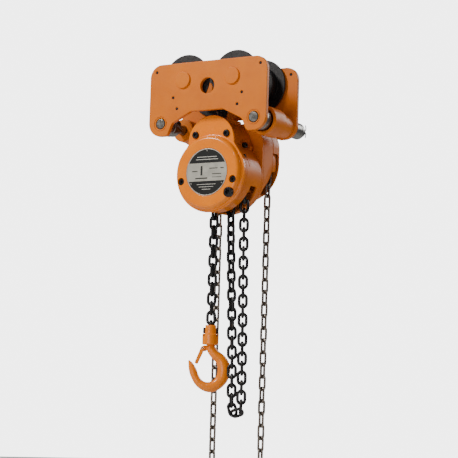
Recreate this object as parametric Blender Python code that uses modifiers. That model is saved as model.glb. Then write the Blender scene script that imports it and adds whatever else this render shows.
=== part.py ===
"""One-tonne hand chain hoist built into a push trolley.

Metres, +Z up. X runs along the beam, -Y is the front (gear cover) side.
The origin is on the beam's lower flange, midway between the four wheel treads.
"""
import math

import bmesh
import bpy

GAP = 0.0003                  # clearance between touching pieces
CHAIN_PLAY = 0.0012           # between a chain and the groove it runs in

# Trolley side plates
PLATE_HALF_WIDTH = 0.1385
PLATE_TOP = 0.074
PLATE_OUTER_Y = 0.0665
PLATE_INNER_Y = 0.0575
PLATE_CORNER = 0.027
FOOT_BOTTOM = -0.075
ARCH_TOP = -0.0275
ARCH_HALF_TOP = 0.038
SIGHT_HOLE = (0.0, 0.0226, 0.0163)                      # x, z, radius
SMALL_HOLES = ((0.1227, 0.0586), (0.0812, 0.0032), (0.0712, -0.0201))
SMALL_HOLE_RADIUS = 0.003

# Track wheels and their axles
AXLE_X = 0.058
AXLE_Z = 0.038
TREAD_RADIUS = 0.038
WHEEL_FLANGE_RADIUS = 0.055
WHEEL_INNER_Y = 0.030
WHEEL_FLANGE_Y = 0.0512
WHEEL_OUTER_Y = 0.0568
AXLE_RADIUS = 0.0085
AXLE_HEAD_RADIUS = 0.0172
AXLE_HEAD_THICK = 0.0032

# Suspension shafts and what is threaded on them
SHAFT_X = 0.110
SHAFT_Z = -0.0487
SHAFT_RADIUS = 0.010
SHAFT_FRONT_Y = -0.0672
SHAFT_BACK_Y = 0.132
COTTER_Y = 0.1245
COTTER_RADIUS = 0.0018
COTTER_REACH = 0.0135
WASHER_RADIUS = 0.0175
WASHER_COUNT = 4
WASHER_END_Y = 0.117
SPACER_RADIUS = 0.0215
REAR_SPACER_RADIUS = 0.0240

# Yoke that carries the hoist
YOKE_FRONT_Y = -0.0285
YOKE_BACK_Y = 0.018
RING_RADIUS = 0.0295
RING_RECESS_RADIUS = 0.0230
RING_RECESS_DEPTH = 0.012
YOKE_TOP = -0.022
YOKE_BOTTOM = -0.0775
YOKE_SEAT_Z = -0.0375
YOKE_SEAT_HALF = 0.033
YOKE_ARCH_RADIUS = 0.0805
HANGER_RADIUS = 0.010
HANGER_HEAD_RADIUS = 0.0145
HANGER_TIP_Z = -0.0630

# Hoist frame
MAIN_Z = -0.118               # axis of sheave, pinion and hand wheel
FACE_Z = -0.152               # centre of the round gear cover
LOBE_Z = -0.0885
CHAIN_Y = 0.006               # plane of the load chain
FRONT_PLATE_Y = (-0.0350, -0.0290)
REAR_PLATE_Y = (0.0300, 0.0360)
SHELL_WALL = 0.0035
SHELL_RADIUS = 0.077
SHELL_LOBE = 0.0485
SHELL_TOP = -0.0378
FRAME_CORNER = 0.045           # top corners of the rear frame plate and what follows it
BRAKE_BACK_Y = 0.0740
WHEEL_COVER_BACK_Y = 0.1045
WHEEL_COVER_RADIUS = 0.076
COVER_WALL = 0.003
SLOT_Y = (0.0765, 0.0990)
BIG_TANGENT = math.radians(23.5)
LOBE_TANGENT = math.radians(-4.0)

# Gear cover
COVER_RADIUS = 0.080
COVER_LOBE = 0.0540
COVER_FLANGE_Y = -0.0460
COVER_FACE_Y = -0.0586
DOME_RADIUS = 0.0745
DOME_FLAT = 0.0665
NAMEPLATE_RADIUS = 0.0478
NAMEPLATE_THICK = 0.0010
COVER_CAVITY_Y = -0.0535
COVER_BOLTS = ((-0.0365, -0.0735), (0.0365, -0.0735), (-0.0605, -0.1690), (0.0605, -0.1690))
OIL_PLUG = (0.0530, -0.1950)

# Gear train: pinion 8, wheel 24, pinion 8, wheel 24
CENTRE_DISTANCE = 0.038
IDLER_ANGLE = math.radians(57)
LARGE_TIP = 0.0287
LARGE_ROOT = 0.0260
SMALL_TIP = 0.0088
SMALL_ROOT = 0.0070
LARGE_TEETH = 24
SMALL_TEETH = 8
STAGE_ONE_Y = (-0.0505, -0.0450)
STAGE_TWO_Y = (-0.0435, -0.0380)

# Load sheave, drive shaft and brake
SHEAVE_PITCH_RADIUS = 0.0187
SHEAVE_RIM_RADIUS = 0.0310
PINION_SHAFT_RADIUS = 0.0050
SHEAVE_BORE = 0.0054
JOURNAL_RADIUS = 0.0130
BEARING_RADIUS = 0.0190
DISC_RADIUS = 0.030
RATCHET_TIP = 0.0400
RATCHET_ROOT = 0.0360
RATCHET_TEETH = 16
RATCHET_Y = (0.0456, 0.0506)
PAWL_PIVOT_RADIUS = 0.0545
HUB_RADIUS = 0.0120

# Chains
LOAD_CHAIN_WIDTH = 0.0210
HAND_CHAIN_WIDTH = 0.0170
HAND_CHAIN_Y = 0.088
HAND_WHEEL_PITCH = 0.0575
HAND_CHAIN_BOTTOM = -0.795
STRAND_X = SHEAVE_PITCH_RADIUS
ANCHOR_X = 0.052
ANCHOR_Z = -0.182
SLACK_BOTTOM = -0.6445
SLACK_LOOP_X = (0.0350, 0.0575)         # the two strands just above the loop

# Hook block and hook
BLOCK_TOP = -0.4555
BLOCK_BOTTOM = -0.4950
BLOCK_RADIUS = 0.0165
BLOCK_NECK_RADIUS = 0.0140
BLOCK_FLAT_X = 0.0108                   # flats on the neck, under the chain pin's heads
CHAIN_PIN_Z = -0.4665
CHAIN_PIN_RADIUS = 0.0032
CHAIN_PIN_HEAD = 0.0058
CHAIN_PIN_REACH = 0.0155
BLOCK_BOLT_X = 0.0130
BLOCK_BOLT_Z = -0.4765
BLOCK_BOLT_RADIUS = 0.0014
HOOK_TURN = math.radians(30)
HOOK_SHANK = ((0.0, -0.4860, 0.0078), (0.0, -0.4956, 0.0078), (0.0006, -0.4990, 0.0090),
              (0.0040, -0.5065, 0.0094), (0.0115, -0.5155, 0.0100))    # h, z, half thickness
BOWL_CENTRE = (-0.0040, -0.5485)
HOOK_BOWL = ((45, 0.0355, 0.0108), (31, 0.0347, 0.0122), (15, 0.0338, 0.0128), (0, 0.0330, 0.0128),
             (-24, 0.0326, 0.0122), (-48, 0.0322, 0.0114), (-65, 0.0323, 0.0110), (-81, 0.0322, 0.0106),
             (-98, 0.0310, 0.0094), (-116, 0.0295, 0.0084), (-134, 0.0281, 0.0080), (-152, 0.0272, 0.0078),
             (-167, 0.0278, 0.0079), (-182, 0.0297, 0.0078), (-193, 0.0330, 0.0066), (-201, 0.0368, 0.0050),
             (-206, 0.0410, 0.0028))                    # degrees, reach, half thickness
HOOK_TIP = (-0.0425, -0.5275, 0.0012)
HOOK_HEAD_RADIUS = 0.0115
HOOK_HEAD_Z = (-0.4872, -0.4795)
LATCH_PIVOT = (-0.0150, -0.5025)
LATCH_TIP = (-0.0280, -0.5340)
LATCH_HALF_WIDTH = 0.0068
LATCH_PIN_RADIUS = 0.0017

SIDES = (("left", -1), ("right", 1))
FACES = (("front", -1), ("rear", 1))


def start_scene():
    for old in list(bpy.data.objects):
        bpy.data.objects.remove(old, do_unlink=True)
    parts = bpy.data.collections.new("chain_hoist")
    tools = bpy.data.collections.new("cutters")
    bpy.context.scene.collection.children.link(parts)
    bpy.context.scene.collection.children.link(tools)
    return parts, tools


def paint(name, colour, roughness, metallic=0.0):
    made = bpy.data.materials.new(name)
    made.use_nodes = True
    shader = made.node_tree.nodes["Principled BSDF"]
    shader.inputs["Base Color"].default_value = (*colour, 1.0)
    shader.inputs["Roughness"].default_value = roughness
    shader.inputs["Metallic"].default_value = metallic
    return made


PARTS, TOOLS = start_scene()
ORANGE = paint("orange_paint", (0.72, 0.26, 0.04), 0.38)
BRIGHT = paint("bright_orange_paint", (0.80, 0.33, 0.04), 0.30)
STEEL = paint("bare_steel", (0.55, 0.55, 0.53), 0.35, 1.0)
DARK = paint("dark_iron", (0.10, 0.10, 0.11), 0.50, 0.8)
BLACK = paint("black_oxide", (0.02, 0.02, 0.02), 0.45, 0.5)
ZINC = paint("zinc_chain", (0.30, 0.27, 0.24), 0.40, 1.0)
LABEL = paint("nameplate_face", (0.45, 0.42, 0.36), 0.35, 0.6)
LINING = paint("friction_lining", (0.16, 0.11, 0.08), 0.85)


def place(name, data, material, tool=False):
    made = bpy.data.objects.new(name, data)
    (TOOLS if tool else PARTS).objects.link(made)
    if tool:
        made.hide_render = True
        made.display_type = "WIRE"
    data.materials.append(material)
    return made


def arc(cx, cz, radius, start, end, count):
    """Points on an arc from the start angle to the end angle, in radians."""
    step = (end - start) / count
    return [(cx + radius * math.cos(start + i * step), cz + radius * math.sin(start + i * step))
            for i in range(count + 1)]


def circle(cx, cz, radius, count=16):
    return arc(cx, cz, radius, 0.0, math.tau, count)[:-1]


def rounded(corners, count=4):
    """Closed outline whose corners (x, z, radius) are rounded by tangent arcs."""
    points = []
    total = len(corners)
    for i, (x, z, radius) in enumerate(corners):
        before = corners[i - 1]
        after = corners[(i + 1) % total]
        if radius == 0:
            points.append((x, z))
            continue
        ax, az = before[0] - x, before[1] - z
        bx, bz = after[0] - x, after[1] - z
        la, lb = math.hypot(ax, az), math.hypot(bx, bz)
        ax, az, bx, bz = ax / la, az / la, bx / lb, bz / lb
        half = math.acos(ax * bx + az * bz) / 2
        reach = radius / math.tan(half)
        mx, mz = ax + bx, az + bz
        scale = radius / math.sin(half) / math.hypot(mx, mz)
        cx, cz = x + mx * scale, z + mz * scale
        first = math.atan2(z + az * reach - cz, x + ax * reach - cx)
        last = math.atan2(z + bz * reach - cz, x + bx * reach - cx)
        turn = (last - first + math.pi) % math.tau - math.pi
        points += arc(cx, cz, radius, first, first + turn, count)
    return points


def mirrored(right_half):
    """Closed outline from its right half, listed from bottom to top."""
    return right_half + [(-x, z) for x, z in reversed(right_half)]


def outline_solid(name, outlines, front, back, material, tool=False):
    """Flat outlines in XZ (the later ones are holes) given thickness from front to back in Y."""
    data = bpy.data.curves.new(name, "CURVE")
    data.dimensions = "2D"
    data.fill_mode = "BOTH"
    data.extrude = (back - front) / 2
    for outline in outlines:
        spline = data.splines.new("POLY")
        spline.points.add(len(outline) - 1)
        for point, (x, z) in zip(spline.points, outline):
            point.co = (x, z, 0.0, 1.0)
        spline.use_cyclic_u = True
    made = place(name, data, material, tool)
    made.location = (0.0, (front + back) / 2, 0.0)
    made.rotation_euler = (math.pi / 2, 0.0, 0.0)
    return as_mesh(made)


def as_mesh(curve_object):
    """The same object as a welded mesh, so that it can be cut and joined."""
    bpy.context.view_layer.update()
    graph = bpy.context.evaluated_depsgraph_get()
    mesh = bpy.data.meshes.new_from_object(curve_object.evaluated_get(graph))
    shape = bmesh.new()
    shape.from_mesh(mesh)
    bmesh.ops.remove_doubles(shape, verts=shape.verts, dist=0.00001)
    bmesh.ops.recalc_face_normals(shape, faces=shape.faces)
    shape.to_mesh(mesh)
    shape.free()
    name = curve_object.name
    made = bpy.data.objects.new(name + "_mesh", mesh)
    curve_object.users_collection[0].objects.link(made)
    made.matrix_world = curve_object.matrix_world.copy()
    made.hide_render = curve_object.hide_render
    made.display_type = curve_object.display_type
    bpy.data.objects.remove(curve_object)
    made.name = name
    return made


def turned(name, profile, material, centre, axis="Y", steps=20, closed=True, tool=False):
    """A profile of (radius, height) turned round an axis; it starts at its high end."""
    mesh = bpy.data.meshes.new(name)
    edges = [(i, i + 1) for i in range(len(profile) - 1)]
    if closed:
        edges.append((len(profile) - 1, 0))
    mesh.from_pydata([(radius, 0.0, height) for radius, height in profile], edges, [])
    made = place(name, mesh, material, tool)
    screw = made.modifiers.new("Turn", "SCREW")
    screw.steps = steps
    screw.render_steps = steps
    screw.use_merge_vertices = True
    screw.merge_threshold = 0.00001
    screw.use_smooth_shade = False
    made.location = centre
    if axis == "Y":
        made.rotation_euler = (-math.pi / 2, 0.0, 0.0)
    elif axis == "X":
        made.rotation_euler = (0.0, math.pi / 2, 0.0)
    return made


def rod(name, radius, low, high, material, centre, axis="Y", steps=16, tool=False, chamfer=0.0):
    """A round bar with chamfered ends, between two heights along its axis."""
    profile = [(0.0, high), (radius - chamfer, high), (radius, high - chamfer),
               (radius, low + chamfer), (radius - chamfer, low), (0.0, low)]
    if chamfer == 0:
        profile = [(0.0, high), (radius, high), (radius, low), (0.0, low)]
    return turned(name, profile, material, centre, axis, steps, closed=False, tool=tool)


def collar(name, inner, outer, low, high, material, centre, axis="Y", steps=18):
    profile = [(inner, high), (outer, high), (outer, low), (inner, low)]
    return turned(name, profile, material, centre, axis, steps)


def box(name, low, high, material, tool=False):
    shape = bmesh.new()
    bmesh.ops.create_cube(shape, size=1.0)
    for vert in shape.verts:
        for k in range(3):
            vert.co[k] = low[k] + (vert.co[k] + 0.5) * (high[k] - low[k])
    mesh = bpy.data.meshes.new(name)
    shape.to_mesh(mesh)
    shape.free()
    return place(name, mesh, material, tool)


def combine(target, other, operation):
    step = target.modifiers.new(operation.title(), "BOOLEAN")
    step.operation = operation
    step.solver = "EXACT"
    step.object = other


def cut(target, *cutters):
    for cutter in cutters:
        combine(target, cutter, "DIFFERENCE")


def join(target, *others):
    for other in others:
        combine(target, other, "UNION")


def smooth(made, angle=35):
    """Round pieces are shaded smooth, with their sharp edges kept."""
    made.data.shade_smooth()
    made.data.set_sharp_from_angle(angle=math.radians(angle))


# ---- Trolley -------------------------------------------------------------------------------

def plate_outline():
    """Right half: up the foot's inner edge, round the foot, up to the top corner."""
    w = PLATE_HALF_WIDTH
    right = [(ARCH_HALF_TOP, ARCH_TOP, 0.008), (0.0825, -0.0495, 0.012), (0.0935, FOOT_BOTTOM, 0.010),
             (w, FOOT_BOTTOM, 0.029), (w, PLATE_TOP, PLATE_CORNER)]
    return rounded(right + [(-x, z, r) for x, z, r in reversed(right)])


def side_plate(name, side):
    low, high = sorted((side * PLATE_INNER_Y, side * PLATE_OUTER_Y))
    holes = [circle(*SIGHT_HOLE, 18)]
    for s in (-1, 1):
        holes += [circle(s * x, z, SMALL_HOLE_RADIUS, 6) for x, z in SMALL_HOLES]
        holes.append(circle(s * AXLE_X, AXLE_Z, AXLE_RADIUS + GAP, 14))
        holes.append(circle(s * SHAFT_X, SHAFT_Z, SHAFT_RADIUS + GAP, 14))
    outline_solid("side_plate_" + name, [plate_outline()] + holes, low, high, ORANGE)


def wheel_profile(side):
    """Bored hub, coned tread and guide flange, listed for the rear wheels and mirrored for the front."""
    bore = AXLE_RADIUS + GAP
    profile = [(bore, WHEEL_OUTER_Y), (0.0200, WHEEL_OUTER_Y), (0.0230, WHEEL_OUTER_Y - 0.002),
               (WHEEL_FLANGE_RADIUS - 0.002, WHEEL_OUTER_Y - 0.002), (WHEEL_FLANGE_RADIUS, WHEEL_OUTER_Y - 0.004),
               (WHEEL_FLANGE_RADIUS, WHEEL_FLANGE_Y), (TREAD_RADIUS, WHEEL_FLANGE_Y),
               (TREAD_RADIUS, WHEEL_INNER_Y), (bore, WHEEL_INNER_Y)]
    if side > 0:
        return profile
    return [(r, -y) for r, y in reversed(profile)]


def track_wheel(face, side, end, x_sign):
    where = face + "_" + end
    centre = (x_sign * AXLE_X, 0.0, AXLE_Z)
    turned("track_wheel_" + where, wheel_profile(side), DARK, centre, steps=24)
    head = PLATE_OUTER_Y + GAP
    inner = WHEEL_INNER_Y - GAP
    profile = [(0.0, head + AXLE_HEAD_THICK), (AXLE_HEAD_RADIUS - 0.001, head + AXLE_HEAD_THICK),
               (AXLE_HEAD_RADIUS, head + AXLE_HEAD_THICK - 0.001), (AXLE_HEAD_RADIUS, head),
               (AXLE_RADIUS, head), (AXLE_RADIUS, inner), (0.0130, inner), (0.0130, inner - 0.004),
               (0.0, inner - 0.004)]
    if side < 0:
        profile = [(r, -y) for r, y in reversed(profile)]
    turned("wheel_axle_" + where, profile, ORANGE, centre, steps=14, closed=False)


def suspension(end, x_sign):
    """One shaft with its spacers, washer stack and cotter pin."""
    centre = (x_sign * SHAFT_X, 0.0, SHAFT_Z)
    shaft = rod("suspension_shaft_" + end, SHAFT_RADIUS, SHAFT_FRONT_Y, SHAFT_BACK_Y, STEEL, centre, chamfer=0.001)
    hole = rod("cotter_hole_" + end, COTTER_RADIUS + GAP, -0.03, 0.03, STEEL,
               (x_sign * SHAFT_X, COTTER_Y, SHAFT_Z), "Z", 12, tool=True)
    hole.rotation_euler = (0.0, math.pi / 2, 0.0)
    cut(shaft, hole)
    bore = SHAFT_RADIUS + GAP
    front = YOKE_FRONT_Y + RING_RECESS_DEPTH - GAP
    gauge = -PLATE_INNER_Y + GAP
    profile = [(bore, front), (0.0195, front), (0.0195, -0.030), (SPACER_RADIUS, -0.031),
               (SPACER_RADIUS, -0.049), (0.0180, -0.050), (0.0180, gauge), (bore, gauge)]
    turned("front_spacer_" + end, profile, STEEL, centre)
    collar("rear_spacer_" + end, bore, REAR_SPACER_RADIUS, YOKE_BACK_Y + GAP, PLATE_INNER_Y - GAP, ORANGE, centre)
    outer_washers(end, centre, bore)
    cotter_pin(end, x_sign)


def outer_washers(end, centre, bore):
    """Adjusting washers outside the rear plate, as one stack with a groove at each joint."""
    first = PLATE_OUTER_Y + GAP
    pitch = (WASHER_END_Y - first) / WASHER_COUNT
    outside = []
    for i in reversed(range(WASHER_COUNT)):
        low = first + i * pitch
        outside += [(WASHER_RADIUS, low + pitch - 0.0006), (WASHER_RADIUS, low + 0.0006)]
        if i:
            outside.append((WASHER_RADIUS - 0.0010, low))
    turned("outer_washers_" + end, [(bore, WASHER_END_Y - 0.0006)] + outside + [(bore, first + 0.0006)],
           STEEL, centre, steps=16)


def cotter_pin(end, x_sign):
    """Split pin through the shaft, with its legs bent up and down."""
    spot = (x_sign * SHAFT_X, COTTER_Y, SHAFT_Z)
    pin = rod("cotter_pin_" + end, COTTER_RADIUS, -0.0145, 0.0175, BLACK, spot, "Z", 10)
    pin.rotation_euler = (0.0, math.pi / 2, 0.0)
    legs = rod("cotter_legs_" + end, 0.0013, -COTTER_REACH, COTTER_REACH, BLACK,
               (spot[0] + 0.0130, COTTER_Y, SHAFT_Z), "Z", 8, tool=True)
    join(pin, legs)


def yoke():
    """Forged bar with a bored ring boss at each end and an arch that clears the hoist."""
    seat = math.acos(YOKE_SEAT_HALF / YOKE_ARCH_RADIUS)
    foot = math.asin((YOKE_BOTTOM + 0.012 - MAIN_Z) / YOKE_ARCH_RADIUS)
    under = arc(0.0, MAIN_Z, YOKE_ARCH_RADIUS, seat, foot, 6)
    end = arc(SHAFT_X, SHAFT_Z, RING_RADIUS - 0.003, math.radians(250), math.radians(110), 8)
    right = [(YOKE_SEAT_HALF - 0.004, YOKE_SEAT_Z)] + under
    right += [(0.083, YOKE_BOTTOM), (end[0][0], YOKE_BOTTOM)] + end + [(end[-1][0], YOKE_TOP)]
    bar = outline_solid("yoke", [mirrored(right)], YOKE_FRONT_Y + 0.001, YOKE_BACK_Y - 0.001, ORANGE)
    bore, step = SHAFT_RADIUS + GAP, YOKE_FRONT_Y + RING_RECESS_DEPTH
    profile = [(bore, YOKE_BACK_Y), (RING_RADIUS, YOKE_BACK_Y), (RING_RADIUS, YOKE_FRONT_Y),
               (RING_RECESS_RADIUS, YOKE_FRONT_Y), (RING_RECESS_RADIUS, step), (bore, step)]
    for end, x_sign in SIDES:
        centre = (x_sign * SHAFT_X, 0.0, SHAFT_Z)
        join(bar, turned("ring_boss_" + end, profile, ORANGE, centre, steps=24, tool=True))
    hole = rod("hanger_hole", HANGER_RADIUS + GAP, -0.1, 0.1, ORANGE, (0, hanger_y(), 0), "Z", tool=True)
    cut(bar, hole)


def hanger_y():
    return (YOKE_FRONT_Y + YOKE_BACK_Y) / 2


def hanger_bolt():
    """Vertical bolt that holds the hoist frame up in the yoke."""
    top = YOKE_TOP + GAP
    profile = [(0.0, top + 0.010), (0.012, top + 0.010), (HANGER_HEAD_RADIUS, top + 0.0075),
               (HANGER_HEAD_RADIUS, top), (HANGER_RADIUS, top), (HANGER_RADIUS, HANGER_TIP_Z + 0.001),
               (HANGER_RADIUS - 0.001, HANGER_TIP_Z), (0.0, HANGER_TIP_Z)]
    turned("hanger_bolt", profile, BLACK, (0.0, hanger_y(), 0.0), "Z", 12, closed=False)


# ---- Hoist frame and covers ----------------------------------------------------------------

def pear(big, lobe, count=22):
    """Big round bottom with a smaller lobe on top."""
    bottom = arc(0.0, FACE_Z, big, -math.pi - BIG_TANGENT, BIG_TANGENT, count)
    top = arc(0.0, LOBE_Z, lobe, LOBE_TANGENT, math.pi - LOBE_TANGENT, count // 2)
    return bottom + top


def frame_outline(radius=SHELL_RADIUS, top=SHELL_TOP - 0.004, count=24):
    """Round bottom, straight sides and a round-cornered top."""
    bottom = arc(0.0, FACE_Z, radius, -math.pi, 0.0, count)
    corner = FRAME_CORNER
    right = arc(radius - corner, top - corner, corner, 0.0, math.pi / 2, 5)
    left = arc(corner - radius, top - corner, corner, math.pi / 2, math.pi, 5)
    return bottom + right + left


def wheel_outline(radius, shrink=0.0, count=24):
    """As frame_outline, with its round bottom about the hand wheel."""
    bottom = arc(0.0, MAIN_Z, radius, -math.pi, 0.0, count)
    corner = FRAME_CORNER - shrink
    top = SHELL_TOP - 0.004 - shrink
    right = arc(radius - corner, top - corner, corner, 0.0, math.pi / 2, 5)
    left = arc(corner - radius, top - corner, corner, math.pi / 2, math.pi, 5)
    return bottom + right + left


def frame_plate_front():
    holes = [circle(0.0, MAIN_Z, BEARING_RADIUS + GAP, 24)]
    holes += [circle(x, z, 0.0035 + GAP, 12) for x, z in COVER_BOLTS]
    holes += [circle(s * idler_x(), idler_z(), 0.005 + GAP, 14) for s in (-1, 1)]
    outline_solid("frame_plate_front", [pear(SHELL_RADIUS, SHELL_LOBE)] + holes, *FRONT_PLATE_Y, ORANGE)


def frame_plate_rear():
    """Rear plate with its two pawl pins and the pin that anchors the slack end of the chain."""
    holes = [circle(0.0, MAIN_Z, BEARING_RADIUS + GAP, 24)]
    plate = outline_solid("frame_plate_rear", [frame_outline()] + holes, *REAR_PLATE_Y, ORANGE)
    for name, angle in PAWLS:
        x, z = pawl_pivot(angle)
        join(plate, rod("pawl_pin_" + name, 0.003, 0.033, 0.0520, STEEL, (x, 0, z), steps=12, tool=True))
    join(plate, rod("anchor_pin", 0.004, FRONT_PLATE_Y[1] + GAP, 0.033, STEEL, (ANCHOR_X, 0, ANCHOR_Z),
                    steps=12, tool=True))


def body_shell():
    """Wall between the frame plates: a lug on top for the hanger bolt, open below for the chain."""
    front, back = FRONT_PLATE_Y[1] + GAP, REAR_PLATE_Y[0] - GAP
    inner = pear(SHELL_RADIUS - SHELL_WALL, SHELL_LOBE - SHELL_WALL)
    shell = outline_solid("body_shell", [pear(SHELL_RADIUS, SHELL_LOBE), inner], front, back, ORANGE)
    lug = box("hanger_lug", (-0.026, front, -0.066), (0.026, back, SHELL_TOP), ORANGE, tool=True)
    join(shell, lug)
    bore = rod("lug_bore", HANGER_RADIUS + GAP, -0.0640, 0.1, ORANGE, (0, hanger_y(), 0), "Z", tool=True)
    mouth = box("chain_mouth", (-0.033, CHAIN_Y - 0.0145, -0.25), (0.068, CHAIN_Y + 0.0145, -0.19), ORANGE, tool=True)
    notch = box("anchor_notch", (0.036, CHAIN_Y - 0.0125, -0.20), (0.09, CHAIN_Y + 0.0125, -0.176), ORANGE, tool=True)
    sheave_room = rod("sheave_room", 0.0365, -0.1, 0.1, ORANGE, (0, 0, MAIN_Z), steps=20, tool=True)
    cut(shell, bore, mouth, notch, sheave_room)


def loft(name, rings, material):
    """A closed tube through rings of equally many points; the last ring joins the first."""
    shape = bmesh.new()
    rows = [[shape.verts.new(point) for point in ring] for ring in rings]
    count = len(rows[0])
    for i, row in enumerate(rows):
        after = rows[(i + 1) % len(rows)]
        for j in range(count):
            k = (j + 1) % count
            shape.faces.new((row[j], row[k], after[k], after[j]))
    bmesh.ops.recalc_face_normals(shape, faces=shape.faces)
    mesh = bpy.data.meshes.new(name)
    shape.to_mesh(mesh)
    shape.free()
    return place(name, mesh, material)


def brake_housing():
    """Tapered wall from the frame's round bottom up to the hand wheel's cover."""
    front, back = REAR_PLATE_Y[1] + GAP, BRAKE_BACK_Y
    r, w = WHEEL_COVER_RADIUS, COVER_WALL
    outer_front = [(x, front, z) for x, z in frame_outline()]
    outer_back = [(x, back, z) for x, z in wheel_outline(r)]
    inner_back = [(x, back, z) for x, z in wheel_outline(r - w, w)]
    inner_front = [(x, front, z) for x, z in frame_outline(SHELL_RADIUS - w, SHELL_TOP - 0.004 - w)]
    loft("brake_housing", [outer_front, outer_back, inner_back, inner_front], ORANGE)


def wheel_cover():
    """Dish over the hand wheel, with a slot on each side where the hand chain leaves."""
    front, back = BRAKE_BACK_Y + GAP, WHEEL_COVER_BACK_Y
    cover = outline_solid("wheel_cover", [wheel_outline(WHEEL_COVER_RADIUS)], front, back, ORANGE)
    inner = outline_solid("wheel_room", [wheel_outline(WHEEL_COVER_RADIUS - COVER_WALL, COVER_WALL)],
                          front - 0.01, back - COVER_WALL, ORANGE, tool=True)
    cut(cover, inner)
    for end, x_sign in SIDES:
        low, high = sorted((x_sign * 0.040, x_sign * 0.090))
        slot = box("chain_slot_" + end, (low, SLOT_Y[0], MAIN_Z - 0.09), (high, SLOT_Y[1], MAIN_Z + 0.020),
                   ORANGE, tool=True)
        cut(cover, slot)


def gear_cover():
    """Pear-shaped cover with a round domed face, a nameplate recess and room for the gears."""
    back = FRONT_PLATE_Y[0] - GAP
    cover = outline_solid("gear_cover", [pear(COVER_RADIUS, COVER_LOBE)], COVER_FLANGE_Y, back, BRIGHT)
    soften = cover.modifiers.new("Round edge", "BEVEL")
    soften.width = 0.004
    soften.segments = 1
    soften.limit_method = "ANGLE"
    soften.angle_limit = math.radians(60)
    rise = COVER_FLANGE_Y - COVER_FACE_Y
    edge = arc(0.0, 0.0, 1.0, 0.0, math.pi / 2, 3)
    rim = [(DOME_FLAT + (DOME_RADIUS - DOME_FLAT) * c, COVER_FLANGE_Y - rise * s) for c, s in edge]
    recess, floor = NAMEPLATE_RADIUS + GAP, COVER_FACE_Y + NAMEPLATE_THICK + GAP
    profile = [(0.0, COVER_FLANGE_Y + 0.004), (DOME_RADIUS, COVER_FLANGE_Y + 0.004)] + rim
    profile += [(recess, COVER_FACE_Y), (recess, floor), (0.0, floor)]
    dome = turned("cover_dome", profile, BRIGHT, (0, 0, FACE_Z), steps=32, closed=False, tool=True)
    join(cover, dome)
    flange_room = outline_solid("gear_room", [pear(COVER_RADIUS - 0.006, COVER_LOBE - 0.006)],
                                -0.0420, 0.0, BRIGHT, tool=True)
    dome_room = rod("dome_room", 0.0655, COVER_CAVITY_Y, 0.0, BRIGHT, (0, 0, FACE_Z), steps=24, tool=True)
    cut(cover, flange_room, dome_room)
    for i, (x, z) in enumerate(COVER_BOLTS):
        bore = rod("bolt_bore_%d" % i, 0.0035 + GAP, -0.1, 0.0, BRIGHT, (x, 0, z), steps=8, tool=True)
        seat = rod("bolt_seat_%d" % i, 0.0076, -0.1, bolt_seat(i), BRIGHT, (x, 0, z), steps=12, tool=True)
        if i > 1:
            join(cover, rod("bolt_pillar_%d" % i, 0.0088, -0.0545, -0.0360, BRIGHT, (x, 0, z), steps=12, tool=True))
        cut(cover, bore, seat)
    plug_hole = rod("plug_hole", 0.0060 + GAP, -0.1, 0.0, BRIGHT, (OIL_PLUG[0], 0, OIL_PLUG[1]), steps=12, tool=True)
    plug_seat = rod("plug_seat", 0.0105, -0.1, COVER_FACE_Y + 0.004, BRIGHT, (OIL_PLUG[0], 0, OIL_PLUG[1]),
                    steps=12, tool=True)
    cut(cover, plug_hole, plug_seat)


def bolt_seat(index):
    """Level of the counterbore: the two upper bolts sit on the flange, the lower two in the dome."""
    return -0.0440 if index < 2 else -0.0500


def socket_screw(name, head, shank, seat, tip, centre, material):
    """Cap screw with a hexagon socket, its head towards -Y."""
    height = head * 0.85
    profile = [(0.0, tip), (shank, tip), (shank, seat - GAP), (head, seat - GAP), (head, seat - height + 0.001),
               (head - 0.001, seat - height), (0.0, seat - height)]
    screw = turned(name, profile, material, centre, steps=12, closed=False)
    socket = rod(name + "_socket", head * 0.52, seat - height - 0.01, seat - height * 0.45, material, centre,
                 steps=6, tool=True)
    cut(screw, socket)


def cover_fittings():
    rod("nameplate", NAMEPLATE_RADIUS, COVER_FACE_Y, COVER_FACE_Y + NAMEPLATE_THICK, LABEL, (0, 0, FACE_Z), steps=32)
    names = ("upper_left", "upper_right", "lower_left", "lower_right")
    for i, (name, (x, z)) in enumerate(zip(names, COVER_BOLTS)):
        socket_screw("cover_bolt_" + name, 0.0068, 0.0035, bolt_seat(i), FRONT_PLATE_Y[1] - 0.001, (x, 0, z), BLACK)
    socket_screw("oil_plug", 0.0100, 0.0060, COVER_FACE_Y + 0.004, -0.0500, (OIL_PLUG[0], 0, OIL_PLUG[1]), BLACK)


# ---- Gear train, sheave and brake ----------------------------------------------------------

PAWLS = (("upper", math.radians(75)), ("lower", math.radians(-105)))


def idler_x():
    return CENTRE_DISTANCE * math.sin(IDLER_ANGLE)


def idler_z():
    return MAIN_Z - CENTRE_DISTANCE * math.cos(IDLER_ANGLE)


def toothed(teeth, root, tip, cx=0.0, cz=0.0):
    """Outline of a gear with straight-sided teeth."""
    points = []
    for i in range(teeth):
        for part, radius in ((0.00, root), (0.30, tip), (0.70, tip)):
            angle = math.tau * (i + part + 0.25) / teeth
            points.append((cx + radius * math.cos(angle), cz + radius * math.sin(angle)))
    return points


def ratchet_outline():
    """Saw teeth, steep on the side that the pawls hold."""
    points = []
    for i in range(RATCHET_TEETH):
        for part, radius in ((0.0, RATCHET_ROOT), (0.85, RATCHET_TIP), (0.97, RATCHET_TIP)):
            angle = math.tau * (i + part) / RATCHET_TEETH
            points.append((radius * math.cos(angle), MAIN_Z + radius * math.sin(angle)))
    return points


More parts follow.
